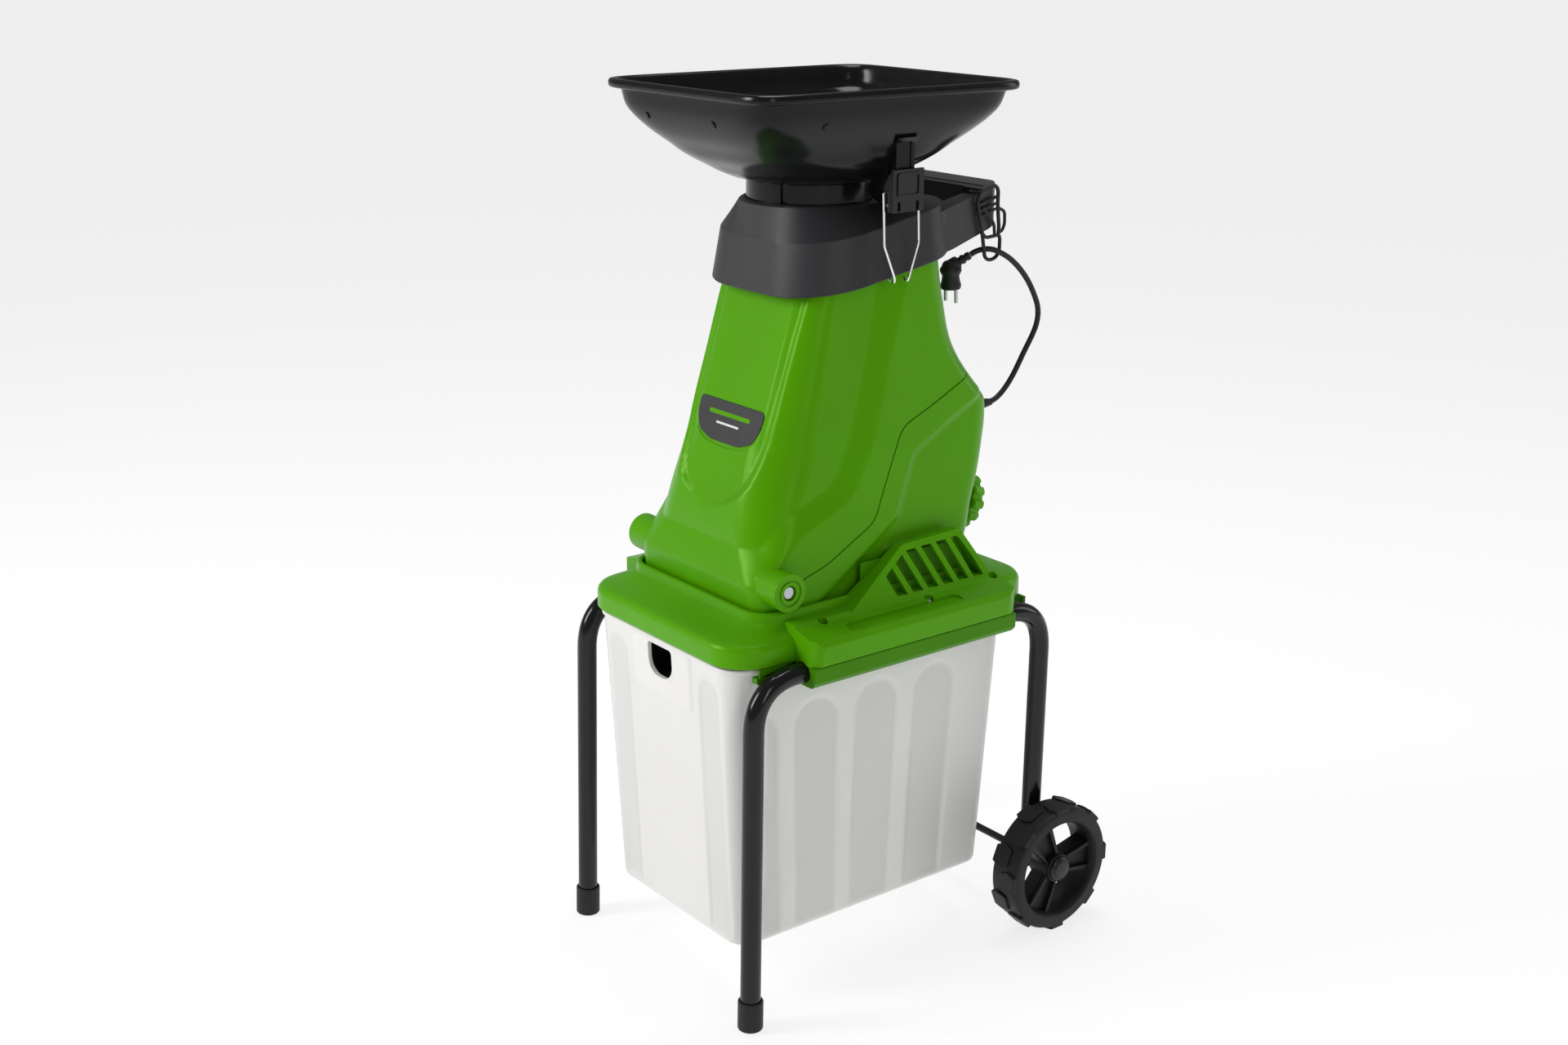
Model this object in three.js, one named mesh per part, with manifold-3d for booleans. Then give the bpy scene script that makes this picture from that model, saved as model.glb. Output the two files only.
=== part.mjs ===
// Electric garden shredder ("wood chipper") on a tubular stand, with a lift-out chip bin.
// Millimetres, +Z up, -Y is the front (grip side of the bin), +X the right-hand side.
// Heights are above the floor. Lengths along Y are written from the stand's own datum,
// and the whole model is then shifted so that the origin is under the middle of the footprint.
import * as THREE from 'three';
import { mergeVertices } from 'three/addons/utils/BufferGeometryUtils.js';
import Module from 'manifold-3d';

const wasm = await Module();
wasm.setup();

// ---------------------------------------------------------------- driving dimensions
const SHIFT_Y = -10.4;              // stand datum to the middle of the footprint
const GAP = 0.3;                  // air between pieces that rest on each other
const WALL = 3;                   // moulded wall thickness
const SIDES = [['left', -1], ['right', 1]];

const TUBE = { r: 12.5, x: 177, splay: 4, z: 440, bend: 42, frontY: -251, frontFootY: -259, rearY: 210, rearFootY: 208, sides: 12 };
const FOOT = { r: 15.5, tall: 38, floor: 3 };
const WHEEL = { r: 88, treadDepth: 7, lugs: 16, in: 192, out: 238, rim: 60, hub: 19, bore: 5.4 };
const AXLE = { r: 5, half: 236 };

const BIN = { z0: 75, z1: 446, wall: 2.5, flange: 158 };
const BIN_LOW = { halfX: 134, front: -240, rear: 163, corner: 26 };
const BIN_TOP = { halfX: 150, front: -264, rear: 182, corner: 34 };
const GRIP = { halfX: 27, z0: 398, z1: 434, depth: 34 };

const BASE = { halfX: 163, front: -267, rear: 212, corner: 52, seam: 450, shoulder: 478, top: 495 };
const RAIL = { x: 201, front: -180, rear: 141, z0: 423, z1: 481 };
const WELL = { halfX: 134, front: -201, rear: 131, corner: 38 };
const VENT = { low: 159, high: 139, inner: 134.5, yFront: -97, yRear: 134, top: 552, slats: 6 };
const DECK = { z0: 456, z1: 460 };
const SCREWS = [[163, -140, 483], [171, 20, 482], [163, 134, 483]];   // x, y and seat height of each side's screws

const PIVOT = { y: -179, z: 529, bossR: 23, bossEnd: 151, boltR: 4, bracketIn: 92, bracketOut: 101.5, bossIn: 106 };
const HOPPER = { y: -35, halfX: 162, halfY: 200, top: 1097, throatR: 81, throatLow: 936 };
const COLLAR = { bottom: 861, band: 59.5, slope: 0.18, refY: -100, neckR: 89, neckZ: 957 };
const HANDLE = { kneeY: 100, rise: 0.265, z1: 927, slope1: 0.225 };
const KNOB = { x: 63, y: 153, z: 566, tilt: 17.6, r: 38, tall: 26, lobes: 12, boltR: 5 };
const GEAR = { module: 2.5, teeth: 40, pinionTeeth: 10, z0: 520, z1: 532, backlash: 0.45 };
const DISC = { r: 112, z0: 496, z1: 501 };
const MOTOR = { r: 50, z0: 556, z1: 690 };
const LATCH = { y: 0, pinX: 128, pinZ: 962, wireX: 125, wireZ: 977, wireR: 1.5, halfY: 26.5 };
const CORD = { r: 3.5, sides: 10, gland: [80, 178, 688] };
const HOLDER = { x: 101.6, y: 165, lean: 7.5, thick: 4 };

const MOTOR_Y = GEAR.module * (GEAR.teeth + GEAR.pinionTeeth) / 2;   // shaft distance; the cutter is at y = 0

// ---------------------------------------------------------------- solids and outlines
const V2 = (x, y) => new THREE.Vector2(x, y);
const V3 = (x, y, z) => new THREE.Vector3(x, y, z);
const rad = THREE.MathUtils.degToRad;

function solid(geometry) {
  const bare = geometry.clone();
  bare.deleteAttribute('normal');
  bare.deleteAttribute('uv');
  const merged = mergeVertices(bare, 1e-4);
  const corners = merged.attributes.position.array;
  const triangles = Array.from({ length: merged.index.count / 3 }, (_, i) => merged.index.array.slice(3 * i, 3 * i + 3))
    .filter(([a, b, c]) => a !== b && b !== c && c !== a);
  const at = (i) => V3(corners[3 * i], corners[3 * i + 1], corners[3 * i + 2]);
  const volume = triangles.reduce((sum, [a, b, c]) => sum + at(a).dot(at(b).cross(at(c))), 0);
  const outward = volume > 0 ? triangles : triangles.map(([a, b, c]) => [a, c, b]);
  return new wasm.Manifold(new wasm.Mesh({
    numProp: 3,
    vertProperties: new Float32Array(corners),
    triVerts: new Uint32Array(outward.flatMap((t) => [...t])),
  }));
}

function geometryOf(manifold) {
  const mesh = manifold.getMesh();
  const geometry = new THREE.BufferGeometry();
  geometry.setAttribute('position', new THREE.BufferAttribute(new Float32Array(mesh.vertProperties), 3));
  geometry.setIndex(new THREE.BufferAttribute(new Uint32Array(mesh.triVerts), 1));
  geometry.computeVertexNormals();
  return geometry;
}

// A closed body through rings of points, all with the same count, counter-clockwise from above.
function loft(rings) {
  const count = rings[0].length;
  const positions = rings.flat().flatMap((p) => [p.x, p.y, p.z]);
  const index = [];
  for (let level = 0; level + 1 < rings.length; level += 1) {
    for (let i = 0; i < count; i += 1) {
      const a = level * count + i;
      const b = level * count + (i + 1) % count;
      index.push(a, b, b + count, a, b + count, a + count);
    }
  }
  const last = (rings.length - 1) * count;
  for (let i = 1; i + 1 < count; i += 1) {
    index.push(0, i + 1, i);
    index.push(last, last + i, last + i + 1);
  }
  const geometry = new THREE.BufferGeometry();
  geometry.setAttribute('position', new THREE.Float32BufferAttribute(positions, 3));
  geometry.setIndex(index);
  return solid(geometry);
}

// Rounded rectangle from y0 to y1, its corners as arcs of the radii r0 (front) and r1 (rear).
function roundRect(halfX, y0, y1, r0, r1 = r0, steps = 4) {
  const corners = [
    [halfX - r0, y0 + r0, r0, -90], [halfX - r1, y1 - r1, r1, 0],
    [-halfX + r1, y1 - r1, r1, 90], [-halfX + r0, y0 + r0, r0, 180],
  ];
  return corners.flatMap(([cx, cy, r, start]) => Array.from({ length: steps + 1 }, (_, i) => {
    const angle = rad(start + 90 * i / steps);
    return V2(cx + r * Math.cos(angle), cy + r * Math.sin(angle));
  }));
}

const ring = (outline, z) => outline.map((p) => V3(p.x, p.y, typeof z === 'function' ? z(p) : z));

// Superellipse: a circle or oval at power 2, a rounded rectangle at higher powers.
function squircle(halfX, halfY, power, cy, count = 40) {
  return Array.from({ length: count }, (_, i) => {
    const a = 2 * Math.PI * i / count;
    const c = Math.cos(a);
    const s = Math.sin(a);
    const grow = (Math.abs(c) ** power + Math.abs(s) ** power) ** (-1 / power);
    return V2(halfX * grow * c, cy + halfY * grow * s);
  });
}

const polygon = (points) => new THREE.Shape(points.map(([x, y]) => V2(x, y)));

function prismZ(shape, z0, z1, holes = []) {
  const outline = shape instanceof THREE.Shape ? shape : new THREE.Shape(shape);
  outline.holes.push(...holes.map((points) => new THREE.Path(points)));
  const geometry = new THREE.ExtrudeGeometry(outline, { depth: z1 - z0, bevelEnabled: false, curveSegments: 6 });
  return solid(geometry.translate(0, 0, z0));
}

// Prism along X of an outline given as [y, z] points.
function prismX(points, x0, x1) {
  const geometry = new THREE.ExtrudeGeometry(polygon(points), { depth: x1 - x0, bevelEnabled: false });
  geometry.rotateX(Math.PI / 2).rotateZ(Math.PI / 2);
  return solid(geometry.translate(x0, 0, 0));
}

// Prism along Y of an outline given as [x, z] points.
function prismY(points, y0, y1) {
  const geometry = new THREE.ExtrudeGeometry(polygon(points), { depth: y1 - y0, bevelEnabled: false });
  geometry.rotateX(Math.PI / 2);
  return solid(geometry.translate(0, y1, 0));
}

function box(x0, x1, y0, y1, z0, z1) {
  const geometry = new THREE.BoxGeometry(x1 - x0, y1 - y0, z1 - z0);
  return solid(geometry.translate((x0 + x1) / 2, (y0 + y1) / 2, (z0 + z1) / 2));
}

function rod(axis, r, from, to, across = [0, 0], sides = 16, rEnd = r) {
  const geometry = new THREE.CylinderGeometry(rEnd, r, to - from, sides).translate(0, (from + to) / 2, 0);
  if (axis === 'z') geometry.rotateX(Math.PI / 2).translate(across[0], across[1], 0);
  if (axis === 'x') geometry.rotateZ(-Math.PI / 2).translate(0, across[0], across[1]);
  if (axis === 'y') geometry.translate(across[0], 0, across[1]);
  return solid(geometry);
}

// Body of revolution about a vertical axis at (x, y): profile of [radius, z], closed on the axis or itself.
function turned(profile, sides = 24, x = 0, y = 0) {
  const onAxis = profile[0][0] === 0 && profile[profile.length - 1][0] === 0;
  const closed = onAxis ? profile : [...profile, profile[0]];
  const geometry = new THREE.LatheGeometry(closed.map(([r, z]) => V2(r, z)), sides);
  return solid(geometry.rotateX(Math.PI / 2).translate(x, y, 0));
}

// A path that a tube follows with one ring at each of its points.
class BentPath extends THREE.Curve {
  constructor(points) {
    super();
    this.points = points;
  }

  getSpacedPoints() {
    return this.points;
  }

  getTangentAt(u) {
    const i = Math.round(u * (this.points.length - 1));
    const before = this.points[Math.max(i - 1, 0)];
    const after = this.points[Math.min(i + 1, this.points.length - 1)];
    const here = this.points[i];
    const step1 = here.clone().sub(before).normalize();
    const step2 = after.clone().sub(here).normalize();
    return step1.add(step2).normalize();
  }
}

function tube(points, r, sides) {
  const section = Array.from({ length: sides }, (_, i) => {
    const a = 2 * Math.PI * (i + 0.5) / sides;
    return V2(r * Math.cos(a), r * Math.sin(a));
  });
  const path = new BentPath(points);
  return solid(new THREE.ExtrudeGeometry(new THREE.Shape(section), { steps: points.length - 1, extrudePath: path }));
}

const arc = (centre, r, from, to, steps, place) => Array.from({ length: steps + 1 }, (_, i) => {
  const a = rad(from + (to - from) * i / steps);
  return place(centre[0] + r * Math.cos(a), centre[1] + r * Math.sin(a));
});

const join = (...parts) => parts.reduce((all, one) => all.add(one));
const mirrorX = (manifold, side) => (side > 0 ? manifold : manifold.mirror([1, 0, 0]));

// ---------------------------------------------------------------- materials
const paint = (color, roughness, metalness = 0) => new THREE.MeshStandardMaterial({ color, roughness, metalness });
const LOOKS = {
  green: () => paint(0x4c9a0c, 0.38),
  darkGreen: () => paint(0x356f14, 0.45),
  black: () => paint(0x16161a, 0.3),
  charcoal: () => paint(0x2d2d31, 0.5),
  clear: () => paint(0xe6e6e2, 0.35),
  steel: () => paint(0xb8bcc0, 0.3, 1),
  chrome: () => paint(0xd8dadd, 0.12, 1),
  tube: () => paint(0x141416, 0.2, 0.3),
  rubber: () => paint(0x1c1c1e, 0.75),
  copper: () => paint(0xa65f34, 0.4, 0.8),
  red: () => paint(0xb01b18, 0.4),
};

const model = new THREE.Group();
const machine = new THREE.Group();
machine.position.y = SHIFT_Y;
model.add(machine);

function put(name, manifold, look) {
  const mesh = new THREE.Mesh(geometryOf(manifold), LOOKS[look]());
  mesh.name = name;
  machine.add(mesh);
  return mesh;
}

// ---------------------------------------------------------------- stand: tubes, feet, axle
function standTube(side) {
  const { bend, x, z } = TUBE;
  const low = z - bend;
  const frontIn = TUBE.frontY + bend;
  const rearIn = TUBE.rearY - bend;
  return tube([
    V3(side * (x + TUBE.splay), TUBE.frontFootY, FOOT.floor + GAP),
    ...arc([frontIn, low], bend, 180, 90, 6, (y, h) => V3(side * x, y, h)),
    ...arc([rearIn, low], bend, 90, 0, 6, (y, h) => V3(side * x, y, h)),
    V3(side * x, TUBE.rearFootY, WHEEL.r - 14),
  ], TUBE.r, TUBE.sides);
}

function footCap(side) {
  const cap = turned([[0, 0], [FOOT.r, 0], [FOOT.r, FOOT.tall - 4], [FOOT.r - 0.8, FOOT.tall],
    [TUBE.r + 0.6, FOOT.tall], [TUBE.r + 0.6, FOOT.floor], [0, FOOT.floor]], 16);
  const deg = THREE.MathUtils.radToDeg;
  const leanBack = deg(Math.atan2(TUBE.frontY - TUBE.frontFootY, TUBE.z - TUBE.bend));
  const leanIn = deg(Math.atan2(TUBE.splay, TUBE.z - TUBE.bend));
  return cap.rotate([-leanBack, -side * leanIn, 0]).translate([side * (TUBE.x + TUBE.splay), TUBE.frontFootY, -0.4]);
}

function stand() {
  for (const [name, side] of SIDES) {
    const bore = rod('x', AXLE.r + 0.35, -250, 250, [TUBE.rearFootY, WHEEL.r]);
    put(`frame_tube_${name}`, standTube(side).subtract(bore), 'tube');
    put(`foot_cap_${name}`, footCap(side).subtract(box(-250, 250, -300, -200, -9, 0)), 'rubber');
  }
  put('axle_rod', rod('x', AXLE.r, -AXLE.half, AXLE.half, [TUBE.rearFootY, WHEEL.r], 12), 'steel');
}

// ---------------------------------------------------------------- wheels
function wheelOutline() {
  const points = [];
  const low = WHEEL.r - WHEEL.treadDepth;
  for (let i = 0; i < WHEEL.lugs; i += 1) {
    const at = 360 * i / WHEEL.lugs;
    for (const [turn, r] of [[-9.5, low], [-7, WHEEL.r], [7, WHEEL.r], [9.5, low]]) {
      points.push(V2(r * Math.cos(rad(at + turn + 90)), r * Math.sin(rad(at + turn + 90))));
    }
  }
  return points;
}

function spokeWindow(at) {
  const edge = (r, half) => [V2(r * Math.cos(rad(at - half)), r * Math.sin(rad(at - half))),
    V2(r * Math.cos(rad(at + half)), r * Math.sin(rad(at + half)))];
  const outer = Array.from({ length: 7 }, (_, i) => {
    const a = rad(at - 42 + 14 * i);
    return V2(WHEEL.rim * Math.cos(a), WHEEL.rim * Math.sin(a));
  });
  const inner = edge(WHEEL.hub + 7, 24).reverse();
  return [...outer, ...inner];
}

function wheel(side) {
  const width = WHEEL.out - WHEEL.in;
  const windows = [90, 210, 330].map(spokeWindow);
  const tyre = prismZ(wheelOutline(), 0, width, windows);
  const dish = turned([[WHEEL.hub, width - 8], [WHEEL.rim + 4, width - 8], [WHEEL.rim + 10, width + 1],
    [WHEEL.hub, width + 1]], 24);
  const back = turned([[WHEEL.hub, -1], [WHEEL.rim + 10, -1], [WHEEL.rim + 4, 16], [WHEEL.hub, 16]], 24);
  const bore = rod('z', WHEEL.bore, -1, width + 1, [0, 0], 16);
  const hubEnd = rod('z', WHEEL.hub + 2, width - 4, width + 1, [0, 0], 16);
  const flat = tyre.subtract(dish).subtract(back).subtract(bore).subtract(hubEnd);
  const upright = flat.rotate([90, 0, 0]).rotate([0, 0, 90]).translate([WHEEL.in, TUBE.rearFootY, WHEEL.r]);
  return mirrorX(upright, side);
}

function hubCap(side) {
  const base = WHEEL.out - 4 + GAP;
  const cap = turned([[0, 0], [17, 0], [17, 3], [14, 5.6], [8, 6.6], [0, 6.6]], 20);
  const pocket = rod('z', AXLE.r + 0.6, -1, 3.2, [0, 0], 12);
  const upright = cap.subtract(pocket).rotate([90, 0, 0]).rotate([0, 0, 90]);
  return mirrorX(upright.translate([base, TUBE.rearFootY, WHEEL.r]), side);
}

function wheels() {
  for (const [name, side] of SIDES) {
    put(`wheel_${name}`, wheel(side), 'rubber');
    put(`hub_cap_${name}`, hubCap(side), 'black');
  }
}

// ---------------------------------------------------------------- chip bin
function binRing(grow, z) {
  const t = (z - BIN.z0) / (BIN.z1 - BIN.z0);
  const mix = (key) => BIN_LOW[key] + (BIN_TOP[key] - BIN_LOW[key]) * t;
  return ring(roundRect(mix('halfX') + grow, mix('front') - grow, mix('rear') + grow, mix('corner')), z);
}

function bin() {
  const { z0, z1, wall, flange } = BIN;
  const skin = loft([binRing(0, z0), binRing(0, z1)]);
  const space = loft([binRing(-wall, z0 + wall), binRing(-wall, z1 + 1)]);
  const lip = prismZ(roundRect(flange, BIN_TOP.front - 5, BIN_TOP.rear + 6, 38), z1 - 4, z1);
  const hole = box(-GRIP.halfX, GRIP.halfX, BIN_TOP.front - 9, BIN_TOP.front + 30, GRIP.z0, GRIP.z1);
  put('bin_box', join(skin, lip).subtract(space).subtract(hole), 'clear');

  const inY = BIN_TOP.front + wall + 5;
  const cup = box(-GRIP.halfX - 6, GRIP.halfX + 6, inY, inY + GRIP.depth, GRIP.z0 - 8, GRIP.z1 + 4);
  const hollow = box(-GRIP.halfX - 3, GRIP.halfX + 3, inY - 5, inY + GRIP.depth - 3, GRIP.z0 - 5, GRIP.z1 + 1);
  put('bin_grip_cup', cup.subtract(hollow), 'black');
}

// ---------------------------------------------------------------- base: cover, tray, deck
const baseRing = (inset, z, corner = BASE.corner) => ring(
  roundRect(BASE.halfX - inset, BASE.front + inset, BASE.rear - inset, corner - inset * 0.6), z);

function tubeChannel(side, r) {
  return rod('y', r, -400, 400, [side * TUBE.x, TUBE.z], TUBE.sides);
}

function ventShoulder(side) {
  const { low, high, inner, yFront, yRear, top } = VENT;
  const foot = BASE.top - 6;
  const raise = loft([
    [V3(inner, yFront - 12, foot), V3(low + 3, yFront - 12, foot), V3(low + 3, yRear + 6, foot), V3(inner, yRear + 6, foot)],
    [V3(inner, yFront + 96, top), V3(high, yFront + 96, top), V3(high, yRear - 44, top), V3(inner, yRear - 44, top)],
  ]);
  const hollow = loft([
    [V3(inner - 1, yFront + 8, foot - 9), V3(low - 3, yFront + 8, foot - 9), V3(low - 3, yRear - 8, foot - 9),
      V3(inner - 1, yRear - 8, foot - 9)],
    [V3(inner - 1, yFront + 98, top - 4), V3(high - 3, yFront + 98, top - 4), V3(high - 3, yRear - 50, top - 4),
      V3(inner - 1, yRear - 50, top - 4)],
  ]);
  return mirrorX(raise.subtract(hollow), side);
}

function ventSlots(side) {
  const pitch = 22;
  let cuts = null;
  for (let i = 0; i < VENT.slats; i += 1) {
    const y = VENT.yFront + 84 + pitch * i;
    const high = VENT.top - 8;
    const low = Math.max(BASE.top + 3, high - 10 - 14 * (i + 1));
    const run = (high - low) * 0.45;
    const slot = prismX([[y - 2 - 9 * 0.5, high], [y - 2 + 9 * 0.5, high], [y + run + 4.5, low], [y + run - 4.5, low]], 130, 170);
    cuts = cuts ? cuts.add(slot) : slot;
  }
  return mirrorX(cuts, side);
}

function railBlock(side, z0, z1, inset) {
  const { x, front, rear } = RAIL;
  const inner = 120;
  const section = [[inner, z0], [x - inset, z0], [x - inset, z1 - 2], [x - inset - 4, z1], [inner, BASE.top - inset - 1]];
  return mirrorX(prismY(section, front + inset, rear - inset), side);
}

function baseCover() {
  const { seam, shoulder, top } = BASE;
  let shell = loft([baseRing(0, seam), baseRing(0, shoulder - 6), baseRing(4, shoulder), baseRing(26, shoulder + 8),
    baseRing(34, top)]);
  let hollow = loft([baseRing(WALL, seam - 1), baseRing(WALL, shoulder - 9), baseRing(WALL + 26, shoulder + 4),
    baseRing(WALL + 34, top - WALL)]);
  for (const [, side] of SIDES) {
    shell = shell.add(railBlock(side, seam, RAIL.z1, 0));
    hollow = hollow.add(railBlock(side, seam - 1, RAIL.z1 - WALL, WALL));
  }
  let cover = shell.subtract(hollow);
  const lip = prismZ(roundRect(WELL.halfX + 4, WELL.front - 4, WELL.rear + 4, WELL.corner + 4), top - 9, top);
  cover = cover.add(lip);
  for (const [, side] of SIDES) {
    cover = cover.add(ventShoulder(side)).subtract(ventSlots(side)).subtract(tubeChannel(side, TUBE.r + 0.5));
    cover = cover.subtract(rod('x', PIVOT.bossR + 3, side * 130 - 24, side * 130 + 24, [PIVOT.y, PIVOT.z], 24));
  }
  for (const [, side] of SIDES) {
    for (const [x, y, seat] of SCREWS) cover = cover.subtract(rod('z', 4.2, seat, seat + 30, [side * x, y], 12));
  }
  const well = prismZ(roundRect(WELL.halfX, WELL.front, WELL.rear, WELL.corner), seam - 1, top + 1);
  return cover.subtract(well).subtract(ventInner());
}

// Room behind each vent, so that air reaches the well.
function ventInner() {
  return box(-WELL.halfX, WELL.halfX, WELL.front + 40, WELL.rear, BASE.seam, VENT.top + 1);
}

function baseTray() {
  const z1 = BASE.seam - GAP;
  const { z0, front, rear, x } = RAIL;
  let tray = null;
  for (const [, side] of SIDES) {
    const section = [[161, z0], [x - 8, z0], [x, z0 + 8], [x, z1], [161, z1]];
    const block = mirrorX(prismY(section, front, rear), side);
    const ledge = mirrorX(box(153.5, 163, front - 60, BASE.rear - 20, z0 + 10, z0 + 17), side);
    const wallIn = mirrorX(box(160, 163, front - 60, BASE.rear - 20, z0 + 10, z1), side);
    const piece = join(block, ledge, wallIn).subtract(tubeChannel(side, TUBE.r + 0.5));
    tray = tray ? tray.add(piece) : piece;
  }
  const back = box(-163, 163, BASE.rear - 21, BASE.rear - 17, z0 + 10, z1);
  return tray.add(back);
}

function deckPlate() {
  const outline = roundRect(BASE.halfX - WALL - 3, BASE.front + WALL + 3, BASE.rear - WALL - 3, BASE.corner - 4);
  const opening = roundRect(104, -140, 96, 20);
  return prismZ(outline, DECK.z0, DECK.z1, [opening]);
}

function hingeBracket(side) {
  const { y, z, bracketIn, bracketOut } = PIVOT;
  const arm = [...arc([y, z], 9.5, 60, 250, 8, (a, b) => [a, b]), [y + 42, z - 27], [y + 57, z - 42],
    [y + 57, DECK.z1 + GAP], [y + 88, DECK.z1 + GAP], [y + 78, z - 24], [y + 30, z + 3]];
  const flat = prismX(arm, bracketIn, bracketOut);
  return mirrorX(flat.subtract(rod('x', PIVOT.boltR + 0.3, bracketIn - 1, bracketOut + 1, [y, z])), side);
}

const knobFrame = (manifold) => manifold.rotate([-90 - KNOB.tilt, 0, 0]).translate([KNOB.x, KNOB.y, KNOB.z]);

function lockPost() {
  const post = box(KNOB.x - 9, KNOB.x + 9, 102, 116, DECK.z1 + GAP, 592);
  const foot = box(KNOB.x - 9, KNOB.x + 24, 102, 118, DECK.z1 + GAP, DECK.z1 + 6);
  const bore = knobFrame(rod('z', KNOB.boltR + 0.3, -70, 10));
  return join(post, foot).subtract(bore);
}

function coverScrews() {
  for (const [name, side] of SIDES) {
    SCREWS.forEach(([x, y, seat], i) => {
      const head = turned([[0, 0], [3.6, 0], [3.6, 1.4], [2.4, 2.6], [0, 2.6]], 10, side * x, y);
      put(`cover_screw_${name}_${i + 1}`, head.translate([0, 0, seat + GAP]), 'steel');
    });
  }
}

function base() {
  put('base_cover', baseCover(), 'green');
  put('base_tray', baseTray(), 'darkGreen');
  put('deck_plate', deckPlate(), 'darkGreen');
  for (const [name, side] of SIDES) put(`hinge_bracket_${name}`, hingeBracket(side), 'steel');
  put('lock_post', lockPost(), 'steel');
}

// ---------------------------------------------------------------- tilting housing
// Each level: height, front, rear, half width, front corner radius, rear corner radius.
const HOUSING = [
  [489, -197, 124, 130.5, 42, 26], [520, -198, 132, 129, 44, 28], [575, -190, 149, 126, 46, 30],
  [614, -176, 163, 123, 46, 32], [650, -165, 173, 121, 46, 34], [683, -156.5, 178, 119, 46, 36],
  [723, -146, 158, 116.5, 46, 34], [774, -133, 119, 113.5, 46, 32], [840, -115.5, 101, 110, 46, 32],
  [896, -101.5, 93, 106.5, 46, 32],
];
const SEAM = [[240, 772], [150, 739], [108, 726], [73, 715], [17, 692], [-1, 652], [-30, 583], [-107, 543], [-150, 531],
  [-150, 470], [240, 470]];

function housing(inset, over) {
  return loft(HOUSING.map(([z, front, rear, halfX, r0, r1], i) => {
    const shift = i === 0 ? -over : (i === HOUSING.length - 1 ? over : 0);
    return ring(roundRect(halfX - inset, front + inset, rear - inset, r0 - inset, r1 - inset), z + shift);
  }));
}

// The switch sits on the upper slope of the motor bulge, left of the middle.
const SWITCH = { x: -35, y: 167.5, z: 703, tilt: 63.4 };
const onSwitchFace = (manifold) => manifold.rotate([-SWITCH.tilt, 0, 0]).translate([SWITCH.x, SWITCH.y, SWITCH.z]);

function shells() {
  const walls = housing(0, 0).subtract(housing(WALL, 2));
  const behindSeam = prismX(SEAM, -200, 200);
  const cutter = prismX(SEAM.map(([y, z]) => [y - (y < 200 ? GAP : 0), z + (z > 480 ? GAP : 0)]), -200, 200);

  let front = walls.subtract(cutter);
  const boltBore = rod('x', PIVOT.boltR + 0.3, -160, 160, [PIVOT.y, PIVOT.z]);
  for (const [, side] of SIDES) {
    const ends = [side * PIVOT.bossIn, side * PIVOT.bossEnd].sort((a, b) => a - b);
    const sinks = [side * (PIVOT.bossEnd - 7), side * (PIVOT.bossEnd + 1)].sort((a, b) => a - b);
    front = front.add(rod('x', PIVOT.bossR, ends[0], ends[1], [PIVOT.y, PIVOT.z], 28));
    front = front.subtract(rod('x', 9.5, sinks[0], sinks[1], [PIVOT.y, PIVOT.z], 20));
  }
  put('chute_front_shell', front.subtract(boltBore), 'green');

  let rear = walls.intersect(behindSeam);
  rear = rear.subtract(box(KNOB.x - 6, KNOB.x + 6, 100, 200, 470, KNOB.z + 10));
  rear = rear.subtract(rod('y', 6.4, 150, 190, [CORD.gland[0], CORD.gland[2]]));
  rear = rear.subtract(onSwitchFace(box(-26.3, 26.3, -12.3, 12.3, -30, 10)));
  put('rear_shell', rear, 'green');
}

function pivotBolts() {
  for (const [name, side] of SIDES) {
    const { y, z, boltR, bossEnd, bracketIn } = PIVOT;
    const shank = rod('x', boltR, bracketIn - 6, bossEnd - 5, [y, z], 12);
    const head = rod('x', 7, bossEnd - 6.6, bossEnd - 2.6, [y, z], 16);
    put(`pivot_bolt_${name}`, mirrorX(join(shank, head), side), 'steel');
  }
}

// Square feed funnel, from the throat down to the cutting disc.
function feedFunnel() {
  const inside = (halfX, y0, y1, z) => ring(roundRect(halfX, y0, y1, 10, 10, 2), z);
  const skin = loft([inside(50, -112, -60, 512), inside(68, -92, 24, 918), inside(74, -102, 34, 923), inside(74, -102, 34, 927)]);
  const space = loft([inside(47, -109, -63, 510), inside(65, -89, 21, 918), inside(65, -89, 21, 929)]);
  put('feed_funnel', skin.subtract(space), 'black');
}

// ---------------------------------------------------------------- collar with carry handle
const collarPlane = (lift) => (p) => COLLAR.bottom + lift + COLLAR.slope * (p.y - COLLAR.refY);

function collarSkin(inset, low, high) {
  const outline = (halfX, y0, y1, r0, r1) =>
    roundRect(halfX - inset, y0 + inset, y1 - inset, r0 - inset, r1 - inset, 5);
  const neck = (r, z) => {
    const count = outline(126, -129, 106, 84, 56).length;
    return Array.from({ length: count }, (_, i) => {
      const a = rad(-90 + 360 * (i + 0.5) / count);
      return V3((r - inset) * Math.cos(a), HOPPER.y + (r - inset) * Math.sin(a), z);
    });
  };
  return loft([
    ring(outline(126, -129, 106, 84, 56), collarPlane(low)),
    ring(outline(117, -119, 99, 78, 50), collarPlane(COLLAR.band + high)),
    neck(COLLAR.neckR, COLLAR.neckZ + high),
    neck(COLLAR.neckR - 6, COLLAR.neckZ + high + (high < 0 ? 0.5 : 3)),
  ]);
}

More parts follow.
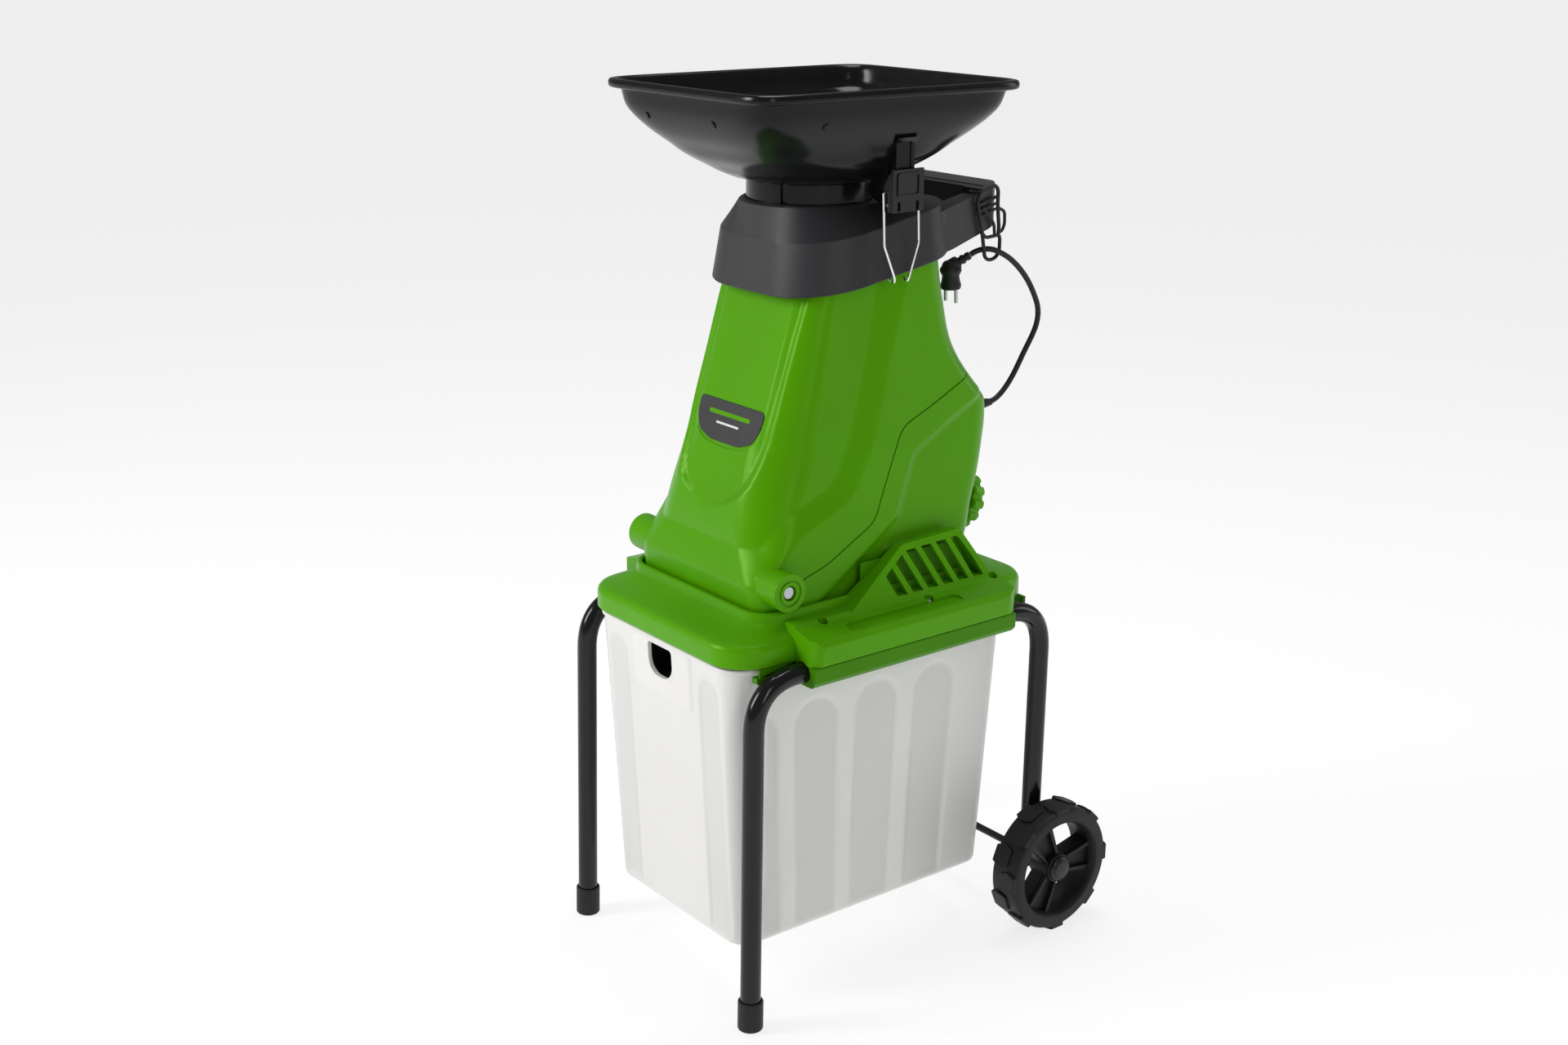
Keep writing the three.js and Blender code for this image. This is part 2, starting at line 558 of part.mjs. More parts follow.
function handleLoop() {
  const outer = roundRect(113, 40, 190, 12, 26);
  const taper = outer.map((p) => V2(p.x * (1 - 0.0011 * Math.max(0, p.y - 60)), p.y));
  const opening = roundRect(80, 112, 165, 14, 18);
  const solidLoop = prismZ(taper, 840, 1000, [opening]);
  const { kneeY, rise, z1, slope1 } = HANDLE;
  const under = (y) => COLLAR.bottom + COLLAR.slope * (y - COLLAR.refY);
  const slab = prismX([[20, under(20)], [kneeY, under(kneeY)], [200, under(kneeY) + rise * (200 - kneeY)],
    [200, z1 + slope1 * 200], [20, z1 + slope1 * 20]], -150, 150);
  return solidLoop.intersect(slab);
}

function collar() {
  const skin = join(collarSkin(0, 0, 0), handleLoop());
  const hollow = collarSkin(WALL + 0.5, -2, -4);
  const throat = rod('z', HOPPER.throatR + 1.2, 900, 990, [0, HOPPER.y], 32);
  put('collar_handle', skin.subtract(hollow).subtract(throat), 'charcoal');
}

// ---------------------------------------------------------------- feed hopper
// Each level: height, half width, half length, squareness (2 is a circle), rearward shift from the throat.
const BOWL = [[HOPPER.throatLow, 81, 81, 2, 0], [983, 81, 81, 2, 0], [986, 99, 101, 2.1, 0], [999, 112, 121, 2.6, 0.5],
  [1011, 120, 139, 3.2, 1], [1024, 125, 154, 4, 2], [1038, 133, 170, 5, 3], [1064, 148, 187, 8, 4], [1084, 151, 189, 10, 5],
  [1086, 160, 198, 11, 5], [1092, HOPPER.halfX, HOPPER.halfY, 11, 5], [1097, 158.5, 196.5, 11, 5]];

function hopper() {
  const level = ([z, halfX, halfY, power, shift], inset, lift) =>
    ring(squircle(halfX - inset, halfY - inset, power, HOPPER.y + shift), z + lift);
  const skin = loft(BOWL.map((row) => level(row, 0, 0)));
  const inside = BOWL.filter(([z]) => z < 1080).map((row, i) => level(row, WALL, i === 0 ? -2 : (i === 1 ? 4 : 3)));
  const mouth = level([HOPPER.top, 152, 190, 11, 5], 0, 1);
  let bowl = skin.subtract(loft([...inside, mouth]));
  for (const [, side] of SIDES) bowl = bowl.add(mirrorX(latchTower(), side));
  return bowl.subtract(loft([...inside, mouth]));
}

// Tower on the underside of the bowl that carries the latch lever.
function latchTower() {
  const half = 18;
  const web = prismY([[86, 972], [121, 952], [121, 1020], [142, 1044], [86, 1000]], LATCH.y - half, LATCH.y + half);
  const lug = prismY([[110, 956], ...arc([LATCH.pinX, LATCH.pinZ], 5.4, -90, 90, 6, (x, z) => [x, z]), [110, 972]],
    LATCH.y - half, LATCH.y + half);
  return join(web, lug).subtract(rod('y', 2.3, -40, 40, [LATCH.pinX, LATCH.pinZ], 12));
}

function latchLever() {
  const { y, pinX, pinZ, wireX, wireZ } = LATCH;
  const cheek = [[pinX - 6, pinZ - 5], [pinX + 3, pinZ - 8], [134.5, pinZ - 8], [134.5, 998], [131, 998],
    [pinX - 7, wireZ + 5], [pinX - 7, pinZ]];
  const cheeks = join(prismY(cheek, y - 24, y - 19), prismY(cheek, y + 19, y + 24));
  const face = box(134, 138, y - 24, y + 24, pinZ - 8, 1003);
  const pad = box(137, 140, y - 17, y + 17, 974, 998);
  const pinBore = rod('y', 2.3, -40, 40, [pinX, pinZ], 12);
  const wireBore = rod('y', LATCH.wireR + 0.4, -40, 40, [wireX, wireZ], 12);
  return join(cheeks, face, pad).subtract(pinBore).subtract(wireBore);
}

function latchWire() {
  const { y, wireX, wireZ, wireR, halfY } = LATCH;
  const prong = (s) => [V3(wireX, y + s * (halfY - 3), wireZ), V3(wireX, y + s * (halfY - 0.9), wireZ - 0.9),
    V3(wireX, y + s * halfY, wireZ - 3), V3(wireX + 3, y + s * halfY, 915), V3(wireX + 3.3, y + s * (halfY - 1), 911),
    V3(wireX + 5, y + s * 11, 876), V3(wireX + 3.6, y + s * 10.4, 872), V3(wireX, y + s * 10.6, 870.5),
    V3(wireX - 4, y + s * 11.5, 872), V3(wireX - 5, y + s * 12, 874.5)];
  return tube([...prong(-1).reverse(), ...prong(1)], wireR, 8);
}

function latches() {
  for (const [name, side] of SIDES) {
    put(`latch_lever_${name}`, mirrorX(latchLever(), side), 'black');
    put(`latch_wire_${name}`, mirrorX(latchWire(), side), 'chrome');
    const pin = rod('y', 2, LATCH.y - 23.5, LATCH.y + 23.5, [LATCH.pinX, LATCH.pinZ], 10);
    put(`latch_pin_${name}`, mirrorX(pin, side), 'steel');
  }
}

// ---------------------------------------------------------------- drive and cutter
function gearOutline(teeth, turn) {
  const { module, backlash } = GEAR;
  const pitch = module * teeth / 2;
  const points = [];
  const halfPitchTooth = (Math.PI * module / 2 - backlash) / 2 / pitch;
  for (let i = 0; i < teeth; i += 1) {
    const at = 2 * Math.PI * i / teeth + turn;
    const flank = [[pitch - 1.15 * module, 1.55], [pitch + 0.9 * module, 0.5]];
    for (const [r, wide] of [flank[0], flank[1]]) points.push([r, at - halfPitchTooth * wide]);
    for (const [r, wide] of [flank[1], flank[0]]) points.push([r, at + halfPitchTooth * wide]);
  }
  return points.map(([r, a]) => V2(r * Math.cos(a), r * Math.sin(a)));
}

function cutter() {
  const { z0, z1 } = GEAR;
  const shaft = turned([[0, 488], [8, 488], [8, 575], [0, 575]], 16);
  put('cutter_shaft', shaft, 'steel');
  const gearBody = prismZ(gearOutline(GEAR.teeth, Math.PI / 2), z0, z1).subtract(rod('z', 8.3, z0 - 1, z1 + 1));
  put('drive_gear', gearBody, 'steel');
  const disc = turned([[8.3, DISC.z0], [DISC.r, DISC.z0], [DISC.r, DISC.z1], [24, DISC.z1], [24, DISC.z1 + 8],
    [8.3, DISC.z1 + 8]], 28);
  put('blade_disc', disc, 'steel');
  for (const [name, turn] of [['a', 0], ['b', 180]]) {
    const knife = prismZ(polygon([[34, -14], [104, -18], [104, 14], [34, 14]]), DISC.z1 + GAP, DISC.z1 + 4);
    const bolt = turned([[0, 0], [6.5, 0], [6.5, 3.5], [0, 3.5]], 6, 70, 0);
    put(`knife_${name}`, knife.rotate([0, 0, turn]), 'steel');
    put(`knife_bolt_${name}`, bolt.translate([0, 0, DISC.z1 + 4 + GAP]).rotate([0, 0, turn]), 'steel');
  }
}

function drive() {
  const y = MOTOR_Y;
  const { r, z0, z1 } = MOTOR;
  const plate = prismZ(roundRect(108, -44, 100, 12), 545, 551)
    .subtract(rod('z', 17.3, 540, 560, [0, 0], 24)).subtract(rod('z', 11.3, 540, 560, [0, y], 24));
  put('gearbox_plate', plate, 'steel');
  put('cutter_bearing', turned([[8.3, 541], [17, 541], [17, 555], [8.3, 555]], 24), 'steel');
  const can = turned([[12, z0], [r, z0], [r, z1], [12, z1], [12, z1 - 4], [r - 4, z1 - 4], [r - 4, z0 + 4], [12, z0 + 4]], 20, 0, y);
  put('motor_housing', can, 'charcoal');
  const core = turned([[33, z0 + 30], [r - 4 - GAP, z0 + 30], [r - 4 - GAP, z0 + 104], [33, z0 + 104]], 20, 0, y);
  put('stator_core', core, 'copper');
  put('motor_bearing', turned([[5.3, 545], [11, 545], [11, 555], [5.3, 555]], 20, 0, y), 'steel');
  const pinion = prismZ(gearOutline(GEAR.pinionTeeth, -Math.PI / 2 + Math.PI / GEAR.pinionTeeth), GEAR.z0, GEAR.z1);
  const spindle = turned([[0, 514], [5, 514], [5, 700], [0, 700]], 16);
  put('motor_shaft', join(pinion, spindle).translate([0, y, 0]), 'steel');
  put('armature', turned([[5.3, z0 + 32], [30, z0 + 32], [30, z0 + 102], [5.3, z0 + 102]], 24, 0, y), 'copper');
  const blades = Array.from({ length: 8 }, (_, i) => box(10, 40, -1.2, 1.2, z0 + 13, z0 + 22).rotate([0, 0, 45 * i]));
  const fan = join(rod('z', 42, z0 + 9, z0 + 13.5, [0, 0], 24), ...blades).subtract(rod('z', 5.3, z0, z0 + 40));
  put('cooling_fan', fan.translate([0, y, 0]), 'black');
}

// ---------------------------------------------------------------- lock, switch, label
function lock() {
  const grip = Array.from({ length: KNOB.lobes * 4 }, (_, i) => {
    const r = KNOB.r - (i % 4 < 2 ? 0 : 3);
    const a = 2 * Math.PI * i / (KNOB.lobes * 4);
    return V2(r * Math.cos(a), r * Math.sin(a));
  });
  const knob = join(prismZ(grip, 6, KNOB.tall), rod('z', 17, 1, 7, [0, 0], 20), rod('z', KNOB.boltR, -52, 8, [0, 0], 12));
  put('lock_knob', knobFrame(knob), 'green');
}

function switchParts() {
  const frame = box(-26, 26, -12, 12, -22, 2).subtract(box(-20, 4, -9, 9, -10, 3)).subtract(rod('z', 6.3, -10, 3, [14, 0], 16));
  put('switch_housing', onSwitchFace(frame), 'black');
  const rocker = box(-19.5, 3.5, -8.5, 8.5, -6, 3.5);
  put('power_rocker', onSwitchFace(rocker), 'green');
  put('reset_button', onSwitchFace(rod('z', 6, -6, 4.5, [14, 0], 16)), 'red');
}

function labelPlate() {
  const lean = Math.atan2(HOUSING[7][1] - HOUSING[5][1], HOUSING[7][0] - HOUSING[5][0]);
  const outline = [...[[60, 62], [-60, 62]], ...[[-58, 22], [-46, 6], [-30, 0], [30, 0], [46, 6], [58, 22]]];
  const plate = prismZ(polygon(outline), 0, 1.2).rotate([90 - THREE.MathUtils.radToDeg(lean), 0, 0]);
  const z = 684;
  put('label_plate', plate.translate([0, -156.5 - 0.6, z]), 'charcoal');
}

// ---------------------------------------------------------------- mains cord, plug and cable holder
const CORD_ROUTE = [
  [80, 193, 688], [80, 199, 688.4], [80, 208, 691], [80.4, 216.5, 696.4], [81.2, 224.2, 703.8], [82.5, 231, 713],
  [84.3, 237, 723.8], [86.3, 242, 735.3], [88.5, 246.8, 747], [90.7, 252, 758.7], [93, 257, 770.6], [95.3, 260.5, 783],
  [97.5, 260.7, 796.2], [99.7, 257, 808.6], [101.8, 250.3, 820], [103.6, 242.6, 831], [105.2, 234.3, 841.6],
  [106.5, 225.2, 851.6], [107.5, 215.5, 861], [108.1, 205.1, 869.7], [108.1, 194.1, 877.6], [106.8, 182.4, 884.2],
  [103.2, 170.2, 889.4], [97.2, 159.6, 889.6], [92.4, 152.2, 886.8], [88.8, 147.2, 883],
];

function cord() {
  const points = CORD_ROUTE.map(([x, y, z]) => V3(x, y, z));
  put('mains_cord', tube(points, CORD.r, CORD.sides), 'rubber');
  const [x, y, z] = CORD.gland;
  const gland = join(rod('y', 6, y - 8, y + 4, [x, z], 16), rod('y', 8, y + 1.5, y + 6, [x, z], 16),
    rod('y', 5, y + 5, y + 14.5, [x, z], 16, 4.2));
  put('cord_gland', gland, 'rubber');
}

// Angled plug: a grip in line with the cord, and a head with two pins that turns down from it.
function alongDirection(manifold, direction, from) {
  const turn = new THREE.Euler().setFromQuaternion(new THREE.Quaternion().setFromUnitVectors(V3(0, 0, 1), direction), 'ZYX');
  const deg = THREE.MathUtils.radToDeg;
  return manifold.rotate([deg(turn.x), deg(turn.y), deg(turn.z)]).translate([from.x, from.y, from.z]);
}

function plug() {
  const [before, end] = CORD_ROUTE.slice(-2).map((p) => V3(...p));
  const aim = end.clone().sub(before).normalize();
  const grip = turned([[0, 0], [4.4, 0], [5.4, 16], [8, 17], [8.6, 32], [0, 32]], 14);
  const head = turned([[0, 0], [9, 0], [12.5, 5], [13.5, 10], [13.5, 32], [11, 35], [0, 35]], 18);
  const pins = join(rod('z', 2.4, 34, 52, [9.5, 0], 8), rod('z', 2.4, 34, 52, [-9.5, 0], 8));
  const down = V3(0, 0.05, -0.999).normalize();
  const elbow = end.clone().addScaledVector(aim, 28).add(V3(0, 0, 7));
  const start = end.clone().addScaledVector(aim, GAP);
  return join(alongDirection(grip, aim, start), alongDirection(join(head, pins), down, elbow));
}

// Rubber strap that hooks over the right arm of the handle and holds the cord in its lower eye.
function cableHolder() {
  const { x, y, lean, thick } = HOLDER;
  const outline = [[138, 956], [143, 963.5], [172, 970.5], [180, 966], [180.5, 946], [194, 936], [195.5, 918], [189, 908],
    [187.5, 904], [187, 886], [181, 876], [167, 874], [154.5, 879], [149, 912], [135.5, 950]];
  const windows = [
    [[143, 955], [146, 959.5], [171, 965.5], [175.5, 962], [175.5, 953.5], [145.5, 946.5]],
    [[147, 942], [174.5, 948.5], [175.5, 943], [149.5, 932.5]],
    [[151, 928.5], [177.5, 939], [178.5, 913], [171, 909], [155, 909]],
    [[183.5, 938.5], [189.5, 933], [190.5, 919.5], [187, 912.5], [183, 911.5]],
    [[155.5, 904], [184, 904], [184, 887], [179, 879.2], [168, 876.9], [157.5, 881]],
  ];
  const strap = windows.reduce((plate, hole) => plate.subtract(prismX(hole, -1, thick + 1)), prismX(outline, 0, thick));
  const plate = strap.translate([0, -y, 0]).rotate([0, 0, lean]).translate([x, y, 0]);
  const overArm = box(75.5, x + 3.6, 142, 152, 962.5, 966);
  const insideArm = box(75.5, 78.6, 142, 152, 946, 966);
  return join(plate, overArm, insideArm);
}

stand();
wheels();
bin();
base();
coverScrews();
shells();
pivotBolts();
feedFunnel();
collar();
put('feed_hopper', hopper(), 'black');
latches();
cutter();
drive();
lock();
switchParts();
labelPlate();
cord();
put('mains_plug', plug(), 'rubber');
put('cable_holder', cableHolder(), 'rubber');

export default model;
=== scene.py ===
# Looks of the wood chipper: smooth moulded shells, hopper, bin, wheels, latches, cord and finishes,
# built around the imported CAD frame. Shapes are written in millimetres from the stand's own datum
# and turned into metres in the row frame by place().
import math

import bmesh
import bpy
import numpy as np
from mathutils import Matrix, Vector


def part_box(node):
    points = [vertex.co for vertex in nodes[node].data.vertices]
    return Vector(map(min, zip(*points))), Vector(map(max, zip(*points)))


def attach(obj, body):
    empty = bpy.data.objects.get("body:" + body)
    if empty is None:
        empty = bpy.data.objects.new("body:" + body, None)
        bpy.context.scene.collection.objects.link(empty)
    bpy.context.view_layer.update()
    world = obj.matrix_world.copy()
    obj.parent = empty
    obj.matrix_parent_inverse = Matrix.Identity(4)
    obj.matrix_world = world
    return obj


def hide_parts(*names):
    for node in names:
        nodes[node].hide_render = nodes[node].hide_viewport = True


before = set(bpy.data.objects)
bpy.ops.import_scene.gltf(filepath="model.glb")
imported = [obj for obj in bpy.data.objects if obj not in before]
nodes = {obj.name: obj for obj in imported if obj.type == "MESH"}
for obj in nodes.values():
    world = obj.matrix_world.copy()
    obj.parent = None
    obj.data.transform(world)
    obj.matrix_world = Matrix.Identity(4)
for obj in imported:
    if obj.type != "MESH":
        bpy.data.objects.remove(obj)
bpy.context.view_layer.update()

SIDES = (("left", -1), ("right", 1))

AXLE_Y = 208                     # the axle's place in the stand's own datum
axle_low, axle_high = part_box("axle_rod")
SHIFT_Y = (axle_low.y + axle_high.y) * 500 - AXLE_Y


def place(x, y, z):
    return Vector((x, y + SHIFT_Y, z)) / 1000


# ---------------------------------------------------------------- camera, light and floor
def make_camera():
    azimuth, pitch, roll = math.radians(51.96), math.radians(17.43), math.radians(0.36)
    forward = Vector((-math.sin(azimuth) * math.cos(pitch), math.cos(azimuth) * math.cos(pitch),
        -math.sin(pitch)))
    level = Vector((math.cos(azimuth), math.sin(azimuth), 0))
    upright = level.cross(forward)
    right = math.cos(roll) * level + math.sin(roll) * upright
    up = -math.sin(roll) * level + math.cos(roll) * upright
    data = bpy.data.cameras.new("camera")
    data.lens, data.sensor_width = 44.72, 36
    data.clip_start, data.clip_end = 0.05, 60
    camera = bpy.data.objects.new("camera", data)
    turn = Matrix((right, up, -forward)).transposed().to_4x4()
    camera.matrix_world = Matrix.Translation(place(1823, -1497, 1284)) @ turn
    bpy.context.scene.collection.objects.link(camera)
    bpy.context.scene.camera = camera


def area_light(name, at, aim, size, power):
    data = bpy.data.lights.new(name, "AREA")
    data.shape, data.size, data.size_y, data.energy = "RECTANGLE", size[0], size[1], power
    lamp = bpy.data.objects.new(name, data)
    lamp.location = at
    lamp.rotation_mode = "QUATERNION"
    lamp.rotation_quaternion = (Vector(aim) - Vector(at)).to_track_quat("-Z", "Y")
    bpy.context.scene.collection.objects.link(lamp)


def make_studio():
    world = bpy.data.worlds.new("studio")
    world.use_nodes = True
    back = world.node_tree.nodes["Background"]
    back.inputs["Color"].default_value = (1, 1, 1, 1)
    back.inputs["Strength"].default_value = 0.24
    bpy.context.scene.world = world
    area_light("key", (-1.5, -3.0, 2.2), (0, 0, 0.7), (1.0, 1.8), 78)
    area_light("side", (3.0, -0.9, 1.9), (0, 0, 0.7), (0.4, 1.8), 13)
    area_light("rim", (1.4, 3.2, 1.7), (0, 0, 0.7), (1.0, 2.0), 14)
    area_light("top", (-0.3, 0.4, 3.4), (0, 0, 0.6), (1.6, 1.6), 52)
    bpy.context.scene.view_settings.view_transform = "Standard"

    floor = bpy.data.meshes.new("floor")
    floor.from_pydata([(-30, -30, -0.0004), (30, -30, -0.0004), (30, 30, -0.0004), (-30, 30, -0.0004)], [],
        [(0, 1, 2, 3)])
    ground = bpy.data.objects.new("floor", floor)
    bpy.context.scene.collection.objects.link(ground)
    look = bpy.data.materials.new("pale_floor")
    look.use_nodes = True
    shader = look.node_tree.nodes["Principled BSDF"]
    shader.inputs["Base Color"].default_value = (0.22, 0.22, 0.22, 1)
    shader.inputs["Roughness"].default_value = 0.9
    shader.inputs["Emission Color"].default_value = (1, 1, 1, 1)
    shader.inputs["Emission Strength"].default_value = 0.79
    floor.materials.append(look)


# ---------------------------------------------------------------- materials
def finish_of(name, color, rough, grain=900.0, relief=0.02, shade=0.06, wear=0.0, **sockets):
    """A moulded or machined finish: base colour with slow drift, fine grain in the bump and the gloss."""
    look = bpy.data.materials.new(name)
    look.use_nodes = True
    tree = look.node_tree
    shader = tree.nodes["Principled BSDF"]
    for socket, value in sockets.items():
        shader.inputs[socket.replace("_", " ")].default_value = value
    where = tree.nodes.new("ShaderNodeTexCoord")

    def noise(scale, detail):
        node = tree.nodes.new("ShaderNodeTexNoise")
        node.inputs["Scale"].default_value = scale
        node.inputs["Detail"].default_value = detail
        tree.links.new(where.outputs["Object"], node.inputs["Vector"])
        return node.outputs["Fac"]

    ramp = tree.nodes.new("ShaderNodeValToRGB")
    dark = [c * (1 - shade) for c in color[:3]]
    light = [min(1, c * (1 + shade)) for c in color[:3]]
    ramp.color_ramp.elements[0].position, ramp.color_ramp.elements[1].position = 0.3, 0.7
    ramp.color_ramp.elements[0].color, ramp.color_ramp.elements[1].color = (*dark, 1), (*light, 1)
    tree.links.new(noise(9, 3), ramp.inputs["Fac"])
    tree.links.new(ramp.outputs["Color"], shader.inputs["Base Color"])

    gloss = tree.nodes.new("ShaderNodeMapRange")
    gloss.inputs["To Min"].default_value = max(0.02, rough - 0.05)
    gloss.inputs["To Max"].default_value = min(1, rough + 0.07 + wear)
    tree.links.new(noise(42, 5), gloss.inputs["Value"])
    tree.links.new(gloss.outputs["Result"], shader.inputs["Roughness"])

    bump = tree.nodes.new("ShaderNodeBump")
    bump.inputs["Strength"].default_value = relief * 10
    bump.inputs["Distance"].default_value = 0.0002
    tree.links.new(noise(grain, 2), bump.inputs["Height"])
    tree.links.new(bump.outputs["Normal"], shader.inputs["Normal"])
    return look


GREEN_GLOSS = (0.55, 1, 0.2, 1)
LOOKS = {
    "green": finish_of("green_plastic", (0.082, 0.335, 0.0005), 0.32, 1400, 0.012, 0.04,
                       Specular_IOR_Level=0.35, Specular_Tint=GREEN_GLOSS),
    # The body green darkened to about two thirds, with a rougher gloss: painted shade for the under tray,
    # the vent backs and the deck plate.
    "green_dark": finish_of("green_plastic_painted_shade", (0.055, 0.23, 0.001), 0.42, 1400, 0.012, 0.05,
                            Specular_IOR_Level=0.25, Specular_Tint=GREEN_GLOSS),
    "hopper": finish_of("black_gloss_plastic", (0.005, 0.005, 0.006), 0.2, 700, 0.012, 0.12,
                        Specular_IOR_Level=0.22),
    "black": finish_of("black_plastic", (0.007, 0.007, 0.008), 0.3, 900, 0.02, 0.1, Specular_IOR_Level=0.4),
    "charcoal": finish_of("charcoal_plastic", (0.022, 0.022, 0.025), 0.45, 2600, 0.05, 0.06,
                          Specular_IOR_Level=0.4),
    "tube": finish_of("black_powder_coat", (0.005, 0.005, 0.005), 0.15, 500, 0.02, 0.15,
                      Specular_IOR_Level=0.35),
    "rubber": finish_of("black_rubber", (0.009, 0.009, 0.009), 0.55, 1800, 0.06, 0.15,
                        Specular_IOR_Level=0.35),
    "tread": finish_of("wheel_plastic", (0.008, 0.008, 0.008), 0.5, 1500, 0.08, 0.2, Specular_IOR_Level=0.3),
    "steel": finish_of("zinc_steel", (0.55, 0.56, 0.58), 0.32, 2200, 0.03, 0.05, 0.1, Metallic=1.0),
    "chrome": finish_of("chrome_wire", (0.8, 0.81, 0.83), 0.1, 900, 0.005, 0.02, Metallic=1.0),
    "bin": finish_of("milky_polypropylene", (0.93, 0.91, 0.88), 0.34, 1200, 0.02, 0.015,
                     Transmission_Weight=0.1, Subsurface_Weight=0.3, Subsurface_Scale=0.01,
                     Subsurface_Radius=(1, 0.9, 0.8), IOR=1.45),
    "copper": finish_of("windings", (0.5, 0.22, 0.09), 0.35, 3000, 0.08, 0.2, Metallic=0.8),
    "nylon": finish_of("nylon_gear", (0.72, 0.69, 0.56), 0.45, 900, 0.03, 0.05),
    "red": finish_of("red_plastic", (0.5, 0.02, 0.015), 0.3, 900, 0.02, 0.06),
    "plate": finish_of("printed_plate", (0.018, 0.018, 0.02), 0.38, 2400, 0.03, 0.06),
    "white": finish_of("white_print", (0.75, 0.76, 0.76), 0.5, 2000, 0.02, 0.02),
}


# ---------------------------------------------------------------- mesh helpers
def make_object(name, verts, faces):
    mesh = bpy.data.meshes.new(name)
    mesh.from_pydata([place(*v) for v in verts], [], faces)
    work = bmesh.new()
    work.from_mesh(mesh)
    bmesh.ops.remove_doubles(work, verts=work.verts, dist=1e-7)
    bmesh.ops.recalc_face_normals(work, faces=work.faces)
    work.to_mesh(mesh)
    work.free()
    obj = bpy.data.objects.new(name, mesh)
    bpy.context.scene.collection.objects.link(obj)
    return obj


def loft(name, rings, ends=True):
    """Skin through rings of equal point counts; ends=False joins the last ring back to the first."""
    count = len(rings[0])
    verts = [tuple(p) for one in rings for p in one]
    faces = []
    for i in range(len(rings) - (1 if ends else 0)):
        a, b = i * count, ((i + 1) % len(rings)) * count
        faces += [(a + j, a + (j + 1) % count, b + (j + 1) % count, b + j) for j in range(count)]
    if ends:
        faces += [tuple(range(count))[::-1], tuple(range((len(rings) - 1) * count, len(rings) * count))]
    return make_object(name, verts, faces)


def prism(name, outline, low, high, axis="z"):
    """Prism of a flat outline along an axis: points are (y, z) along x, (x, z) along y, (x, y) along z."""
    spread = {"x": lambda p, t: (t, p[0], p[1]), "y": lambda p, t: (p[0], t, p[1]), "z": lambda p,
        t: (p[0], p[1], t)}[axis]
    return loft(name, [[spread(p, low) for p in outline], [spread(p, high) for p in outline]])


def box(name, x0, x1, y0, y1, z0, z1):
    return prism(name, [(x0, y0), (x1, y0), (x1, y1), (x0, y1)], z0, z1)


def circle(cx, cy, r, count=48):
    turns = [2 * math.pi * i / count for i in range(count)]
    return [(cx + r * math.cos(a), cy + r * math.sin(a)) for a in turns]


def rod(name, axis, r, low, high, at, count=40):
    return prism(name, circle(at[0], at[1], r, count), low, high, axis)


def turned(name, profile, count=48):
    """Lathe about Z of a closed profile of (radius, z)."""
    rings = []
    for i in range(count):
        a = 2 * math.pi * i / count
        rings.append([(max(r, 0.001) * math.cos(a), max(r, 0.001) * math.sin(a), z) for r, z in profile])
    return loft(name, rings, ends=False)


def arc(cx, cy, r, start, stop, steps=10):
    return [(cx + r * math.cos(math.radians(start + (stop - start) * i / steps)),
             cy + r * math.sin(math.radians(start + (stop - start) * i / steps))) for i in range(steps + 1)]


def rounded(points, radius, steps=5):
    """The closed outline with each corner replaced by a smooth curve of about that radius."""
    out = []
    for i, p in enumerate(points):
        before, here, after = Vector(points[i - 1]), Vector(p), Vector(points[(i + 1) % len(points)])
        cut = min(radius, (before - here).length * 0.45, (after - here).length * 0.45)
        a, b = here + (before - here).normalized() * cut, here + (after - here).normalized() * cut
        for k in range(steps + 1):
            t = k / steps
            out.append(tuple(a * (1 - t) ** 2 + here * (2 * t * (1 - t)) + b * t * t))
    return out


def round_rect(half_x, y0, y1, r0, r1=None, steps=10, edge=1):
    """Rounded rectangle from the front left corner round to the rear; edge splits each straight side."""
    r1 = r0 if r1 is None else r1
    corners = [(-half_x + r0, y0 + r0, r0, 180), (half_x - r0, y0 + r0, r0, 270),
        (half_x - r1, y1 - r1, r1, 0),
               (-half_x + r1, y1 - r1, r1, 90)]
    arcs = [arc(cx, cy, r, start, start + 90, steps) for cx, cy, r, start in corners]
    out = []
    for i, points in enumerate(arcs):
        nxt = arcs[(i + 1) % 4][0]
        out += points
        last = points[-1]
        out += [(last[0] + (nxt[0] - last[0]) * k / edge, last[1] + (nxt[1] - last[1]) * k / edge)
            for k in range(1, edge)]
    return out


def lift(outline, z):
    return [(x, y, z(y) if callable(z) else z) for x, y in outline]


def combine(obj, tools, operation="DIFFERENCE"):
    for tool in tools if isinstance(tools, (list, tuple)) else [tools]:
        step = obj.modifiers.new("cut", "BOOLEAN")
        step.operation, step.object, step.solver = operation, tool, "EXACT"
        graph = bpy.context.evaluated_depsgraph_get()
        made = bpy.data.meshes.new_from_object(obj.evaluated_get(graph))
        obj.modifiers.clear()
        obj.data = made
        bpy.data.objects.remove(tool)
    return obj


def mirror_x(obj):
    for v in obj.data.vertices:
        v.co.x = -v.co.x
    obj.data.flip_normals()
    return obj


def bend_to(obj, matrix):
    """Turns a shape written about its own origin, in millimetres, into its place."""
    back = Matrix.Translation(-place(0, 0, 0))
    obj.data.transform(Matrix.Translation(place(0, 0, 0)) @ matrix @ back)
    return obj


def dress(obj, look, body, replaces=(), bevel=0.0, angle=38, segments=3):
    for face in obj.data.polygons:
        face.use_smooth = True
    obj.data.set_sharp_from_angle(angle=math.radians(angle))
    if bevel:
        edge = obj.modifiers.new("edge", "BEVEL")
        edge.width, edge.segments, edge.limit_method = bevel / 1000, segments, "ANGLE"
        edge.angle_limit = math.radians(angle)
        edge.harden_normals = False
        normals = obj.modifiers.new("normals", "WEIGHTED_NORMAL")
        normals.keep_sharp = False
    obj.data.materials.clear()
    obj.data.materials.append(LOOKS[look])
    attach(obj, body)
    if replaces:
        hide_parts(*replaces)
    return obj


